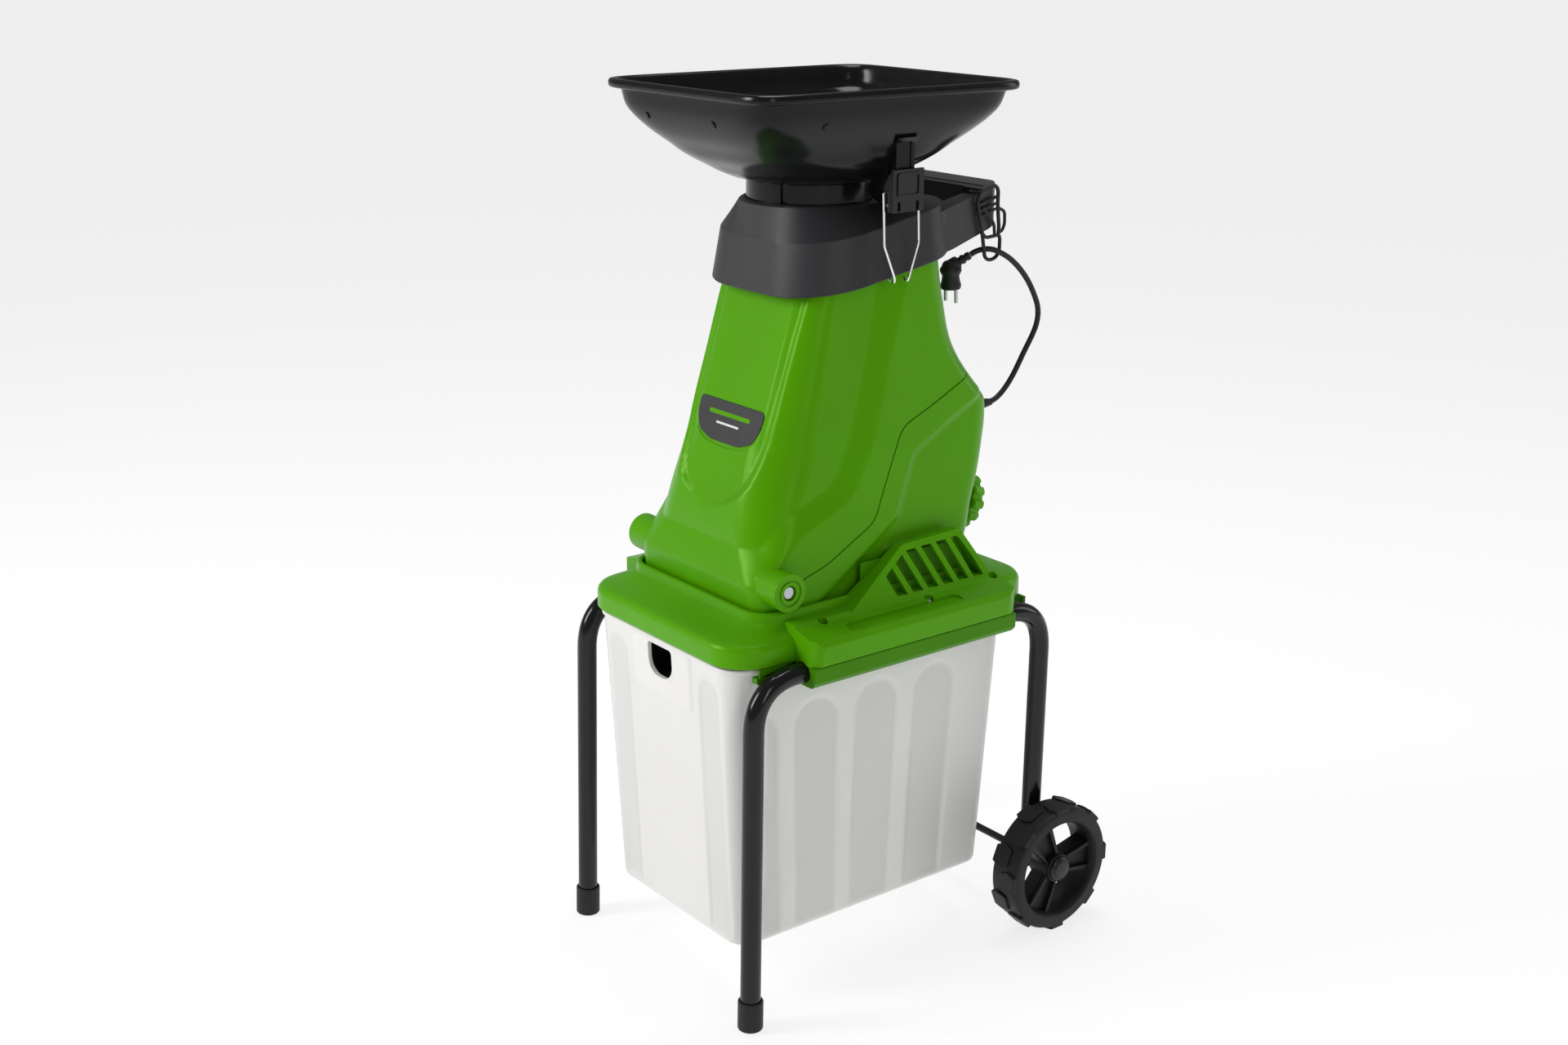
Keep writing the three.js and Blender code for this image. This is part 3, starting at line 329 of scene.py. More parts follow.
def smooth_table(table, z):
    """Smooth values between the rows of a table whose first column is z."""
    table = np.array(table, float)
    zs = table[:, 0]
    out = []
    for k in range(1, table.shape[1]):
        slope = np.gradient(table[:, k], zs)
        i = int(np.clip(np.searchsorted(zs, z) - 1, 0, len(zs) - 2))
        h = zs[i + 1] - zs[i]
        t = (z - zs[i]) / h
        a, b = table[i, k], table[i + 1, k]
        out.append((2 * t**3 - 3 * t**2 + 1) * a + (t**3 - 2 * t**2 + t) * h * slope[i]
                   + (-2 * t**3 + 3 * t**2) * b + (t**3 - t**2) * h * slope[i + 1])
    return out


def swept(name, points, radius, count=14):
    """Round bar along points given in millimetres, with closed ends."""
    path = [Vector(p) for p in points]
    side = None
    rings = []
    for i, p in enumerate(path):
        along = (path[min(i + 1, len(path) - 1)] - path[max(i - 1, 0)]).normalized()
        if side is None:
            side = along.orthogonal().normalized()
        side = (side - along * side.dot(along)).normalized()
        other = along.cross(side)
        rings.append([tuple(p + radius * (math.cos(a) * side + math.sin(a) * other))
                      for a in (2 * math.pi * k / count for k in range(count))])
    return loft(name, rings)


def rounded_path(points, radius, steps=6):
    """Open path through the points with its inner corners rounded."""
    path = [Vector(p) for p in points]
    out = [path[0]]
    for before, here, after in zip(path, path[1:], path[2:]):
        cut = min(radius, (before - here).length * 0.48, (after - here).length * 0.48)
        a, b = here + (before - here).normalized() * cut, here + (after - here).normalized() * cut
        out += [a * (1 - t) ** 2 + here * (2 * t * (1 - t)) + b * t * t
            for t in (k / steps for k in range(steps + 1))]
    return out + [path[-1]]


# ---------------------------------------------------------------- mains cord, gland, plug, holder
CORD_RADIUS = 3.5
CORD_ROUTE = [
    (80, 193, 688), (80, 199, 688.4), (80, 208, 691), (80.4, 216.5, 696.4), (81.2, 224.2, 703.8),
    (82.5, 231, 713),
    (84.3, 237, 723.8), (86.3, 242, 735.3), (88.5, 246.8, 747), (90.7, 252, 758.7), (93, 257, 770.6),
    (95.3, 260.5, 783),
    (97.5, 260.7, 796.2), (99.7, 257, 808.6), (101.8, 250.3, 820), (103.6, 242.6, 831),
    (105.2, 234.3, 841.6),
    (106.5, 225.2, 851.6), (107.5, 215.5, 861), (108.1, 205.1, 869.7), (108.1, 194.1, 877.6),
    (106.8, 182.4, 884.2),
    (103.2, 170.2, 889.4), (97.2, 159.6, 889.6), (92.4, 152.2, 886.8), (88.8, 147.2, 883),
]


def through(points, steps=5):
    """Smooth curve through the points."""
    path = [Vector(p) for p in points]
    path = [path[0] * 2 - path[1]] + path + [path[-1] * 2 - path[-2]]
    out = []
    for a, b, c, d in zip(path, path[1:], path[2:], path[3:]):
        for k in range(steps):
            t = k / steps
            bend = (2 * a - 5 * b + 4 * c - d) * t * t + (3 * b - a - 3 * c + d) * t**3
            out.append(0.5 * (2 * b + (c - a) * t + bend))
    return out + [path[-2]]


def upright_to(direction, at):
    return Matrix.Translation(Vector(at) / 1000) @ Vector((0, 0,
        1)).rotation_difference(direction).to_matrix().to_4x4()


def make_plug():
    before, end = Vector(CORD_ROUTE[-2]), Vector(CORD_ROUTE[-1])
    aim = (end - before).normalized()
    grip = turned("mains_plug_grip", [(0, 0.3), (4.6, 0.3), (5.2, 3), (5.2, 5), (4.4, 6), (4.4, 8), (5.8, 9),
        (5.8, 12),
                                      (4.9, 13), (4.9, 15), (8.2, 17), (8.8, 20), (8.8, 31), (7.6, 33),
                                      (0, 33)])
    bend_to(grip, upright_to(aim, end))
    head = turned("head", [(0, 0), (7, 0), (9.6, 2), (11, 6), (13.2, 9), (13.6, 12), (12.2, 15), (10.6, 18),
        (11.4, 24),
                           (12.8, 29), (12.8, 32), (11.6, 34.5), (0, 34.5)])
    down = Vector((0, 0.05, -0.999)).normalized()
    elbow = end + aim * 28 + Vector((0, 0, 7))
    bend_to(head, upright_to(down, elbow))
    pins = [rod("pin", "z", 2.4, 33, 51, (x, 0), 20) for x in (9.5, -9.5)]
    for pin in pins:
        bend_to(pin, upright_to(down, elbow))
    combine(grip, head, "UNION")
    dress(grip, "rubber", "upper_unit", ["mains_plug"], 0.5, 50, 2)
    for i, pin in enumerate(pins):
        pin.name = f"plug_pin_{i + 1}"
        dress(pin, "steel", "upper_unit", (), 0.8, 50, 2)
    return [grip, *pins]


def make_cord():
    route = through(CORD_ROUTE)
    cord = swept("mains_cord_flex", route, CORD_RADIUS, 18)
    dress(cord, "rubber", "upper_unit", ["mains_cord"], 0, 60)
    pieces = make_plug()
    relief = turned("strain_relief", [(3.9, 0), (8.4, 0), (8.4, 3), (7, 4.5), (6.2, 6), (6.6, 7.4),
        (5.8, 8.6), (6.1, 10),
                                      (5.4, 11.4), (5.7, 13), (5, 14.6), (5.3, 16.4), (4.6, 18.2),
                                      (4.5, 21.6), (3.9, 22)])
    bend_to(relief, upright_to(Vector((0, 1, 0)), Vector((80, 178.2, 688))))
    dress(relief, "rubber", "upper_unit", ["cord_gland"], 0.4, 40, 2)


HOLDER = {"x": 101.6, "y": 165, "lean": math.radians(7.5)}


def make_holder():
    """Rubber strap: a tall loop over the handle arm, cross bars, a side loop and the cord's eye."""
    def at(y, z, out=2.0):
        u = y - HOLDER["y"]
        return (HOLDER["x"] + out * math.cos(HOLDER["lean"]) - u * math.sin(HOLDER["lean"]),
                HOLDER["y"] + u * math.cos(HOLDER["lean"]) + out * math.sin(HOLDER["lean"]), z)

    def bar(points, radius, closed=False):
        line = [at(*p) for p in points]
        if closed:
            line = [tuple(p) for p in rounded_path(line + line[:2], 7)]
            line = line[7:] if len(line) > 9 else line
        else:
            line = [tuple(p) for p in rounded_path(line, 5)]
        return swept("bar", line, radius + 0.3, 12)

    loop = bar([(150, 910), (138, 952), (144, 961.5), (171, 968), (178, 962), (178, 943), (182, 915),
        (181, 905)], 2.1)
    loop.name = "cable_strap"
    bars = [
        bar([(139, 945.5), (178, 954)], 1.7), bar([(141, 938), (178, 946)], 1.4),
        bar([(145, 931), (179, 940)], 1.4), bar([(148, 943), (172, 921), (174, 906)], 1.7),
        bar([(178, 940), (192, 934), (193, 918), (188, 910), (181, 909)], 1.7),
        bar([(149, 912), (157, 905), (181, 906)], 1.9),
        bar([(150, 910), (156, 882), (161, 878), (168, 876.6), (178, 878.5), (184.5, 886), (184.5, 902),
            (181, 907)], 2.0),
    ]
    hook = box("hook", 76, 105.2, 142.5, 151.5, 962.8, 965.7)
    tongue = box("tongue", 75.8, 78.4, 142.5, 151.5, 946.5, 965.7)
    for extra in [*bars, hook, tongue]:
        combine(loop, extra, "UNION")
    dress(loop, "rubber", "upper_unit", ["cable_holder"], 0, 60)


# ---------------------------------------------------------------- hopper, latches
HOPPER_Y = -35
# height, half width, half length, squareness (2 is an oval), rearward shift from the throat
BOWL = [(986, 90, 94, 2.1, 0), (992, 101, 108, 2.3, 0), (999, 110, 119.5, 2.6, 0.5),
    (1011, 120, 139, 3.2, 1),
        (1024, 125, 154, 4, 2), (1038, 133, 170, 5, 3), (1052, 141.5, 180.5, 6.5, 3.5),
        (1064, 147.4, 186.4, 8, 4),
        (1084, 151, 189.6, 10, 5)]
RIM = [(1085.2, 151.4, 190, 10, 5), (1085.8, 158, 196, 11, 5), (1086.4, 160, 198, 11, 5),
    (1088, 161.6, 199.6, 11, 5),
       (1091, 162, 200, 11, 5), (1094.6, 161.4, 199.4, 11, 5), (1096.4, 160, 198, 11, 5),
       (1097, 157.5, 195.5, 11, 5),
       (1096.6, 154.6, 192.6, 11, 5), (1094.8, 152.4, 190.4, 11, 5), (1091, 151, 189, 10.5, 5),
       (1087, 150.2, 188.4, 10, 5)]


def level(z, half_x, half_y, power, shift, count=240):
    out = []
    for i in range(count):
        a = 2 * math.pi * i / count
        c, s = math.cos(a), math.sin(a)
        k = (abs(c) ** power + abs(s) ** power) ** (-1 / power)
        out.append((k * half_x * c, HOPPER_Y + shift + k * half_y * s, z))
    return out


def make_hopper():
    heights = np.linspace(986, 1084, 40)
    skin = [(936, 72, 72, 2, 0), (982.6, 73, 73, 2, 0), (983, 78, 80, 2, 0)]
    skin += [(float(z), *smooth_table(BOWL, z)) for z in heights]
    outer = [level(*row) for row in skin + RIM]
    inner = [level(z + (2.6 if z > 985 else 0), hx - 3, hy - 3, power, shift) for z, hx, hy, power,
        shift in reversed(skin)
             if z < 1062]
    ledge = [level(1080, 148.6, 187, 10, 5), level(1070, 147.4, 186, 9, 4.5),
        level(1068.4, 145.6, 184, 9, 4.4)]
    inner[-1] = level(936, 69, 69, 2, 0)
    bowl = loft("hopper_bowl", outer + ledge + inner, ends=False)
    dress(bowl, "hopper", "upper_unit", ["feed_hopper"], 0, 50)

    for name, side in SIDES:
        tower = prism("tower", rounded([(86, 972), (100, 964), (120, 953), (121, 1021), (139, 1040),
            (96, 1000)], 3), -17, 17, "y")
        post = box("post", 119.5, 131.5, -14, 14, 974, 1036)
        lug = prism("lug", [(110, 956), *arc(128, 962, 5.2, -90, 90, 10), (110, 972)], -17, 17, "y")
        combine(tower, [post, lug], "UNION")
        flute = box("flute", 130.2, 133, -8.5, 8.5, 1004, 1040)
        combine(tower, flute)
        tower.name = f"latch_tower_{name}"
        if side < 0:
            mirror_x(tower)
        dress(tower, "hopper", "upper_unit", (), 1.2, 35)

    for turn in (62, 98, 152, 205, 242, 290, 332):
        a = math.radians(turn)
        dimple = turned("dimple", [(0, 0), (3.4, 0), (4.6, 0.5), (4.6, 1.1), (3.6, 1.5), (0, 1.5)], 24)
        half_x, half_y, power, shift = smooth_table(BOWL, 1058)
        k = (abs(math.cos(a)) ** power + abs(math.sin(a)) ** power) ** (-1 / power)
        at = (k * half_x * math.cos(a), HOPPER_Y + shift + k * half_y * math.sin(a), 1058)
        lean = Vector((math.cos(a) ** 5, math.sin(a) ** 5, 0)).normalized() + Vector((0, 0, -0.45))
        bend_to(dimple, upright_to(lean.normalized(), at))
        dimple.name = f"hopper_dimple_{turn}"
        dress(dimple, "hopper", "upper_unit", (), 0.3, 40, 2)


def make_ring():
    """Split throat ring between the bowl and the collar."""
    for name, start in (("a", 3), ("b", 183)):
        rings = []
        for k in range(61):
            a = math.radians(start + 2.9 * k - 62)
            rings.append([(r * math.cos(a), HOPPER_Y + r * math.sin(a), z)
                          for r, z in ((72.2, 958), (75.6, 958), (76.1, 959), (76.1, 981.5), (75.4, 982.6),
                              (72.2, 982.6))])
        band = loft(f"throat_band_{name}", rings)
        dress(band, "hopper", "upper_unit", (), 0.4, 40, 2)


def make_latches():
    pin_x, pin_z = 128, 962
    for name, side in SIDES:
        face = box("face", 134, 138, -23.5, 23.5, 954, 1003)
        cheek = rounded([(122, 957), (131, 954), (136, 954), (136, 1001), (131.5, 998), (121.5, 982)], 2.5)
        for y0, y1 in ((-23.8, -19.2), (19.2, 23.8)):
            combine(face, prism("cheek", cheek, y0, y1, "y"), "UNION")
        barrel = prism("barrel", circle(132.4, 961.5, 5.4, 28), -23.8, 23.8, "y")
        combine(barrel, box("gap", 120, 134, -19, 19, 940, 980))
        combine(face, barrel, "UNION")
        frame_out = prism("frame_out", rounded([(-17, 972), (17, 972), (17, 999), (-17, 999)], 4), 137,
            139.6, "x")
        frame_in = prism("frame_in", rounded([(-14.6, 974.4), (14.6, 974.4), (14.6, 996.6), (-14.6, 996.6)],
            3), 137.4, 141, "x")
        combine(frame_out, frame_in)
        combine(face, frame_out, "UNION")
        for y in (-14, 14):
            combine(face, box("slot", 134.6, 141, y - 2.2, y + 2.2, 955.5, 966))
        for obj_cut in (rod("bore", "y", 2.4, -40, 40, (pin_x, pin_z), 20),
            rod("bore", "y", 1.9, -40, 40, (125, 977), 20)):
            combine(face, obj_cut)
        face.name = f"latch_paddle_{name}"
        if side < 0:
            mirror_x(face)
        dress(face, "black", f"lever_{name}", [f"latch_lever_{name}"], 0.7, 35)

        def prong(s):
            return [(125, s * 23.5, 977), (125, s * 26.5, 976), (125.2, s * 26.5, 972), (128, s * 26.5, 915),
                    (130, s * 11, 876), (128.4, s * 10.2, 871.2), (124.4, s * 10.2, 870.6),
                    (120.6, s * 11.8, 874.8)]

        ends = [[tuple(p) for p in rounded_path(prong(s), 3.2)] for s in (1, -1)]
        wire = swept("wire", ends[1][::-1] + ends[0], 1.5, 14)
        wire.name = f"latch_bail_{name}"
        if side < 0:
            mirror_x(wire)
        dress(wire, "chrome", f"wire_{name}", [f"latch_wire_{name}"], 0, 60)


# ---------------------------------------------------------------- collar with carry handle
def collar_plane(rise):
    return lambda y: 861 + rise + 0.18 * (y + 100)


def collar_rings(inset, low, high):
    def plan(half, y0, y1, r0, r1):
        return round_rect(half - inset, y0 + inset, y1 - inset, r0 - inset, r1 - inset, 20, 6)

    def neck(r, z):
        turns = [math.atan2(y - HOPPER_Y, x) for x, y in plan(126, -129, 106, 84, 56)]
        return [((r - inset) * math.cos(a), HOPPER_Y + (r - inset) * math.sin(a), z) for a in turns]

    return [
        lift(plan(125.2, -128.2, 105.2, 83.4, 55.5), collar_plane(low)),
        lift(plan(126, -129, 106, 84, 56), collar_plane(1.2)),
        lift(plan(117.6, -119.8, 99.6, 78, 50), collar_plane(58.5 + high)),
        lift(plan(116.4, -118.4, 98.4, 77, 49), collar_plane(60.5 + high)),
        neck(85, 956.5 + high), neck(83.4, 958 + high), neck(81, 959.4 + high),
    ]


def make_collar():
    body = loft("collar_and_handle", collar_rings(0, 0, 0))
    under = lambda y: 861 + 0.18 * (y + 100)
    outer = [(x * (1 - 0.0011 * max(0, y - 60)), y) for x, y in round_rect(113, 40, 190, 12, 26, 12, 20)]
    loop = prism("loop", outer, 840, 1000)
    side_view = rounded([(20, under(20)), (100, under(100)), (200, under(100) + 26.5), (200, 972),
        (20, 931.5)], 2)
    combine(loop, prism("slab", side_view, -150, 150, "x"), "INTERSECT")
    combine(loop, prism("opening", round_rect(80, 96, 165, 20, 18, 10), 840, 1000))
    dish = prism("dish", rounded([(60, 951), (104, 951.5), (171, 963.5), (171, 990), (60, 990)], 4), -86, 86,
        "x")
    combine(loop, dish)
    combine(body, loop, "UNION")
    rings = collar_rings(3.4, -4, -3.6)
    combine(body, loft("hollow", rings[:-1]))
    combine(body, rod("throat", "z", 77.4, 850, 1000, (0, HOPPER_Y), 96))
    for side in (-1, 1):
        notch = prism("notch", rounded([(44, 902), (62, 905), (62, 932), (44, 928)], 4), 110.5, 118, "x")
        if side < 0:
            mirror_x(notch)
        combine(body, notch)
    dress(body, "charcoal", "upper_unit", ["collar_handle"], 2.4, 33)


# ---------------------------------------------------------------- chute and rear shells
HOUSING = [  # height, front, rear, half width, front corner radius, rear corner radius
    (489, -202, 124, 130.5, 25, 26), (500, -203.5, 127, 130, 26, 27), (520, -207, 132, 129, 28, 28),
    (545, -209.5, 141, 128, 40, 29), (575, -209.5, 149, 126, 55, 30), (614, -202.5, 163, 123, 62, 32),
    (650, -192.5, 172, 121, 67, 34), (683, -182, 178, 119, 66, 36), (705, -175.5, 176, 117.7, 63, 36),
    (723, -169.5, 158, 116.5, 60, 34), (774, -153.5, 119, 113.5, 56, 32), (840, -133.5, 101, 110, 51, 32),
    (906, -112.5, 92, 106, 47, 32)]
LINE_A = [(-3, 895), (-12, 866), (-34, 765), (-52, 705), (-76, 652), (-94, 631), (-134, 616), (-175, 590),
    (-195, 572),
          (-240, 560)]
LINE_B = [(34, 895), (27, 861), (0, 778), (-25, 687), (-54, 627), (-77, 610), (-144, 583), (-176, 555),
    (-198, 532),
          (-240, 516)]
SEAM = [(240, 790), (150, 750), (106, 731), (73, 715), (17, 692), (-1, 652), (-30, 583), (-107, 543),
    (-150, 531), (-150, 460),
        (240, 460)]
CREASE = [(240, 762), (128, 706), (96, 691), (35, 658), (5, 583), (-58, 540), (-119, 501), (-140, 460)]


def far_from(y, z, line):
    best = np.full(y.shape, 1e9)
    for (y0, z0), (y1, z1) in zip(line, line[1:]):
        dy, dz = y1 - y0, z1 - z0
        t = np.clip(((y - y0) * dy + (z - z0) * dz) / (dy * dy + dz * dz), 0, 1)
        best = np.minimum(best, np.hypot(y - y0 - t * dy, z - z0 - t * dz))
    return best


def within(y, z, loop):
    hit = np.zeros(y.shape, bool)
    for (y0, z0), (y1, z1) in zip(loop, loop[1:] + loop[:1]):
        crosses = (z0 > z) != (z1 > z)
        with np.errstate(divide="ignore", invalid="ignore"):
            at = y0 + (z - z0) * (y1 - y0) / (z1 - z0 if z1 != z0 else 1e-9)
        hit ^= crosses & (y < at)
    return hit


def ramp(value, low, high):
    t = np.clip((value - low) / (high - low), 0, 1)
    return t * t * (3 - 2 * t)


def housing_grid():
    """Rows of points of the tilting housing, with its raised skirt, front panel and motor bulge."""
    heights = np.linspace(489, 897, 150)
    rows, facing = [], []
    for z in heights:
        front, rear, half, r0, r1 = smooth_table(HOUSING, z)
        plan = np.array(round_rect(half, front, rear, r0, r1, 16, 64))
        before, after = np.roll(plan, 1, 0), np.roll(plan, -1, 0)
        along = after - before
        out = np.stack([along[:, 1], -along[:, 0]], 1)
        out /= np.linalg.norm(out, axis=1)[:, None] + 1e-9
        rows.append(np.column_stack([plan, np.full(len(plan), z)]))
        facing.append(out)
    grid, facing = np.array(rows), np.array(facing)
    x, y, z = grid[..., 0], grid[..., 1], grid[..., 2]
    region_a = LINE_A + [(-400, 500), (-400, 950), (-3, 950)]
    region_b = LINE_B + [(-400, 460), (-400, 950), (34, 950)]
    near_a, near_b = far_from(y, z, LINE_A), far_from(y, z, LINE_B)
    raised = np.where(within(y, z, region_a), 0, np.where(within(y, z, region_b),
        near_a / (near_a + near_b), 1))
    sideways, frontal = np.abs(facing[..., 0]), np.clip(-facing[..., 1], 0, 1)
    push = -(1 - raised) * (8.5 * sideways + 14 * frontal)
    behind = within(y, z, CREASE + [(240, 460)])
    push -= np.where(behind, ramp(far_from(y, z, CREASE), 0, 9), 0) * 6 * sideways
    # centre panel of the front, narrowing downwards and fading out above the skirt
    edge = np.interp(z, [600, 612, 625, 640, 660, 690, 780, 900], [0, 34, 56, 70, 79, 86, 89, 96])
    depth = 6 * np.clip(frontal * 1.3, 0, 1) * ramp(z, 596, 636) * (y < 0)
    push -= depth * (1 - ramp(np.abs(x), edge - 6, edge + 3))
    grid[..., 0] += facing[..., 0] * push
    grid[..., 1] += facing[..., 1] * push
    return grid


def front_face(z):
    """Y of the middle of the front, on the centre panel."""
    return -163 + (z - 705) * 0.3134 + 7.5


def slab_behind_face(z0, z1, depth, lift_off):
    """Side outline (y, z) of what lies in front of a plane let into the front by depth."""
    return [(front_face(z0) + depth, z0), (front_face(z1) + depth, z1), (front_face(z1) - lift_off, z1),
            (front_face(z0) - lift_off, z0)]


LABEL_OUTLINE = [(-63, 722), (-62, 700), (-52, 683), (-28, 675), (28, 675), (52, 683), (62, 700), (63, 722)]


def make_shells():
    grid = housing_grid()
    outer = [[tuple(p) for p in row] for row in grid]
    inner = []
    for z in np.linspace(489, 897, 40)[::-1]:
        front, rear, half, r0, r1 = smooth_table(HOUSING, z)
        step = 4 + 21 * float(ramp(z, 500,
            575))     # the wall follows the front, which steps in above the skirt
        inner.append(lift(round_rect(half - 12, front + step, rear - 9, max(16, r0 - 12), r1 - 6, 16,
            64), z))
    shell = loft("chute_shell", outer + inner, ends=False)

    recess = prism("recess", rounded([(-72, 905), (-70, 780), (-65, 705), (-60, 686), (-40, 673), (0, 669.5),
        (40, 673),
                                      (60, 686), (65, 705), (70, 780), (72, 905)], 10), -260, 60, "y")
    combine(recess, prism("slab", slab_behind_face(640, 915, 1.6, 30), -100, 100, "x"), "INTERSECT")
    combine(shell, recess)

    seam_outline = rounded(SEAM, 14, 8)
    behind = prism("behind", seam_outline, -200, 200, "x")
    rear = shell.copy()
    rear.data = shell.data.copy()
    bpy.context.scene.collection.objects.link(rear)
    keep = behind.copy()
    keep.data = behind.data.copy()
    bpy.context.scene.collection.objects.link(keep)
    for v in keep.data.vertices:
        v.co.y += 0.0014
        v.co.z -= 0.0011
    combine(shell, behind)
    combine(rear, keep, "INTERSECT")

    for _, side in SIDES:
        for r, a, b, op in ((23, 108, 151, "UNION"), (16.5, 149.4, 152, "DIFFERENCE"),
            (13.5, 148.4, 153, "UNION"),
                            (9.3, 144, 153, "DIFFERENCE")):
            low, high = sorted((side * a, side * min(b, 151 if op == "UNION" else b)))
            combine(shell, rod("boss", "x", r, low, high, (-179, 529), 48), op)
    combine(rear, box("stud_slot", 57, 69, 100, 200, 460, 577))
    combine(rear, rod("gland_hole", "y", 6.6, 140, 200, (80, 688), 28))
    opening = box("opening", -26.4, 26.4, -12.4, 12.4, -30, 12)
    bend_to(opening, switch_face())
    combine(rear, opening)
    rear.name = "motor_shell"
    dress(shell, "green", "upper_unit", ["chute_front_shell"], 0.8, 48, 2)
    dress(rear, "green", "upper_unit", ["rear_shell"], 0.8, 48, 2)


def switch_face():
    return Matrix.Translation(Vector((-35, 167.5, 703)) / 1000) @ Matrix.Rotation(-math.radians(63.4), 4,
        "X")


def on_front(outline, z_low, z_high, proud, sink):
    piece = prism("front_piece", outline, -260, 60, "y")
    slab = slab_behind_face(z_low, z_high, sink, proud)
    return combine(piece, prism("slab", slab, -100, 100, "x"), "INTERSECT")


def make_label():
    """Blank plate with two plain bars where the original carries its print."""
    plate = on_front(rounded(LABEL_OUTLINE, 7), 660, 722, -0.4, 2.6)
    plate.name = "blank_label"
    dress(plate, "plate", "upper_unit", ["label_plate"], 0.5, 40, 2)
    bars = ((-40, 40, 705, 710, "green"), (-22, 22, 695, 697.4, "white"))
    for i, (x0, x1, z0, z1, look) in enumerate(bars):
        bar = on_front(rounded([(x0, z0), (x1, z0), (x1, z1), (x0, z1)], 2.4), z0 - 5, z1 + 5, -0.2, 1.2)
        bar.name = f"label_bar_{i + 1}"
        dress(bar, look, "upper_unit", (), 0, 40)


# ---------------------------------------------------------------- base
def base_plan(inset, corner=52):
    return round_rect(163 - inset, -267 + inset, 212 - inset, max(8, corner - inset * 0.7), None, 16, 16)


def well_plan(grow):
    return round_rect(134 + grow, -207.5 - grow, 131 + grow, 30 + grow, None, 16, 16)


def between(a, b, t):
    return [(p[0] * (1 - t) + q[0] * t, p[1] * (1 - t) + q[1] * t) for p, q in zip(a, b)]


def rail_block(side, z0, z1, inset=0.0):
    outline = rounded([(120, z0), (201 - inset, z0), (201 - inset, z1 - 7), (197 - inset, z1), (166, z1 + 8),
        (160, z1 + 12),
                       (120, z1 + 12)], 2)
    block = prism("rail", outline, -181 + inset, 142 - inset, "y")
    plan = [(100, -230), (158, -230), (178, -190), (201, -172), (201, 132), (190, 150), (100, 150)]
    if inset == 0:
        combine(block, prism("plan", rounded(plan, 8), 400, 520), "INTERSECT")
    return block if side > 0 else mirror_x(block)


VENT = {"front": -104, "rear": 136, "top": 553, "foot": 486}


def vent_outline(grow):
    front, rear, top, foot = VENT["front"], VENT["rear"], VENT["top"], VENT["foot"]
    return rounded([(front - grow * 2, foot), (-4 - grow * 0.4, top + grow),
        (92 + grow * 0.6, top + grow + 3),
                    (rear + grow, foot)], 5)


def make_base():
    base, well = base_plan(0), well_plan(0)
    rings = [lift(base_plan(0.8), 450), lift(base, 451), lift(base, 469), lift(base_plan(1), 473),
        lift(base_plan(3.6), 476.5),
             lift(base_plan(8), 478.8)]
    rings += [lift(between(base_plan(8), well_plan(8), t), z) for t, z in
              ((0.25, 480.6), (0.5, 482.8), (0.72, 485.2), (0.88, 487.8), (1, 491))]
    rings += [lift(well_plan(7.4), 497), lift(well_plan(6.4), 501), lift(well_plan(4.8), 502.4),
        lift(well_plan(0.8), 502.4),
              lift(well, 500.2), lift(well, 452)]
    rings += [lift(well_plan(3), 452), lift(well_plan(3), 478),
        lift(between(base_plan(8), well_plan(8), 0.5), 474),
              lift(base_plan(6), 468), lift(base_plan(3), 464), lift(base_plan(3), 450)]
    cover = loft("base_shell", rings, ends=False)
    for _, side in SIDES:
        block = rail_block(side, 450, 481)
        hollow = box("hollow", 139, 190, -140, 130, 440, 474)
        if side < 0:
            mirror_x(hollow)
        combine(block, hollow)
        combine(cover, block, "UNION")
    combine(cover, prism("well", well_plan(0), 440, 520))
    for _, side in SIDES:
        shoulder = prism("vent", vent_outline(0), 130, 170, "x")
        lean = prism("lean", [(134.5, 478), (164, 478), (164, 490), (143.5, 560), (134.5, 560)], -160, 180,
            "y")
        combine(shoulder, lean, "INTERSECT")
        inner = prism("vent_room", vent_outline(-9), 130, 153, "x")
        lean_in = prism("lean_in", [(130, 490), (158, 490), (139.5, 560), (130, 560)], -160, 180, "y")
        combine(inner, lean_in, "INTERSECT")
        combine(shoulder, inner)
        cut = None
        for i in range(6):
            top_y = -42 + 25 * i
            slot = prism("slot", [(top_y - 8, 548), (top_y + 8, 548), (top_y + 36, 495), (top_y + 20, 495)],
                125, 175, "x")
            if cut is None:
                cut = slot
            else:
                combine(cut, slot, "UNION")
        combine(cut, prism("mask", vent_outline(-8), 120, 180, "x"), "INTERSECT")
        combine(shoulder, cut)
        if side < 0:
            mirror_x(shoulder)
        combine(cover, shoulder, "UNION")
        combine(cover, rod("tube", "y", 13.2, -400, 400, (side * 177, 440), 40))
        low, high = sorted((side * 128, side * 156))
        combine(cover, rod("boss_room", "x", 26, low, high, (-179, 529), 48))
        for x, y, seat in ((163, -140, 483), (171, 20, 482), (163, 134, 483)):
            combine(cover, rod("seat", "z", 6.2, seat, seat + 30, (side * x, y), 28))
        pad_low, pad_high = sorted((side * 176, side * 196))
        pad = prism("pad", round_rect(abs(pad_high - pad_low) / 2, -120, 60, 8, None, 8), 482.2, 495)
        for v in pad.data.vertices:
            v.co.x += (pad_low + pad_high) / 2000
        combine(cover, pad)
    dress(cover, "green", "base", ["base_cover"], 1.8, 30)
    backs = {}
    # Sheets behind the vent slots in the darkened green: painted shade inside the vents.
    for name, side in SIDES:
        backs[name] = box(f"vent_back_{name}", 134.7, 136.2, -60, 112, 492, 538)
        if side < 0:
            mirror_x(backs[name])
        dress(backs[name], "green_dark", "base", (), 0.3, 40, 1)


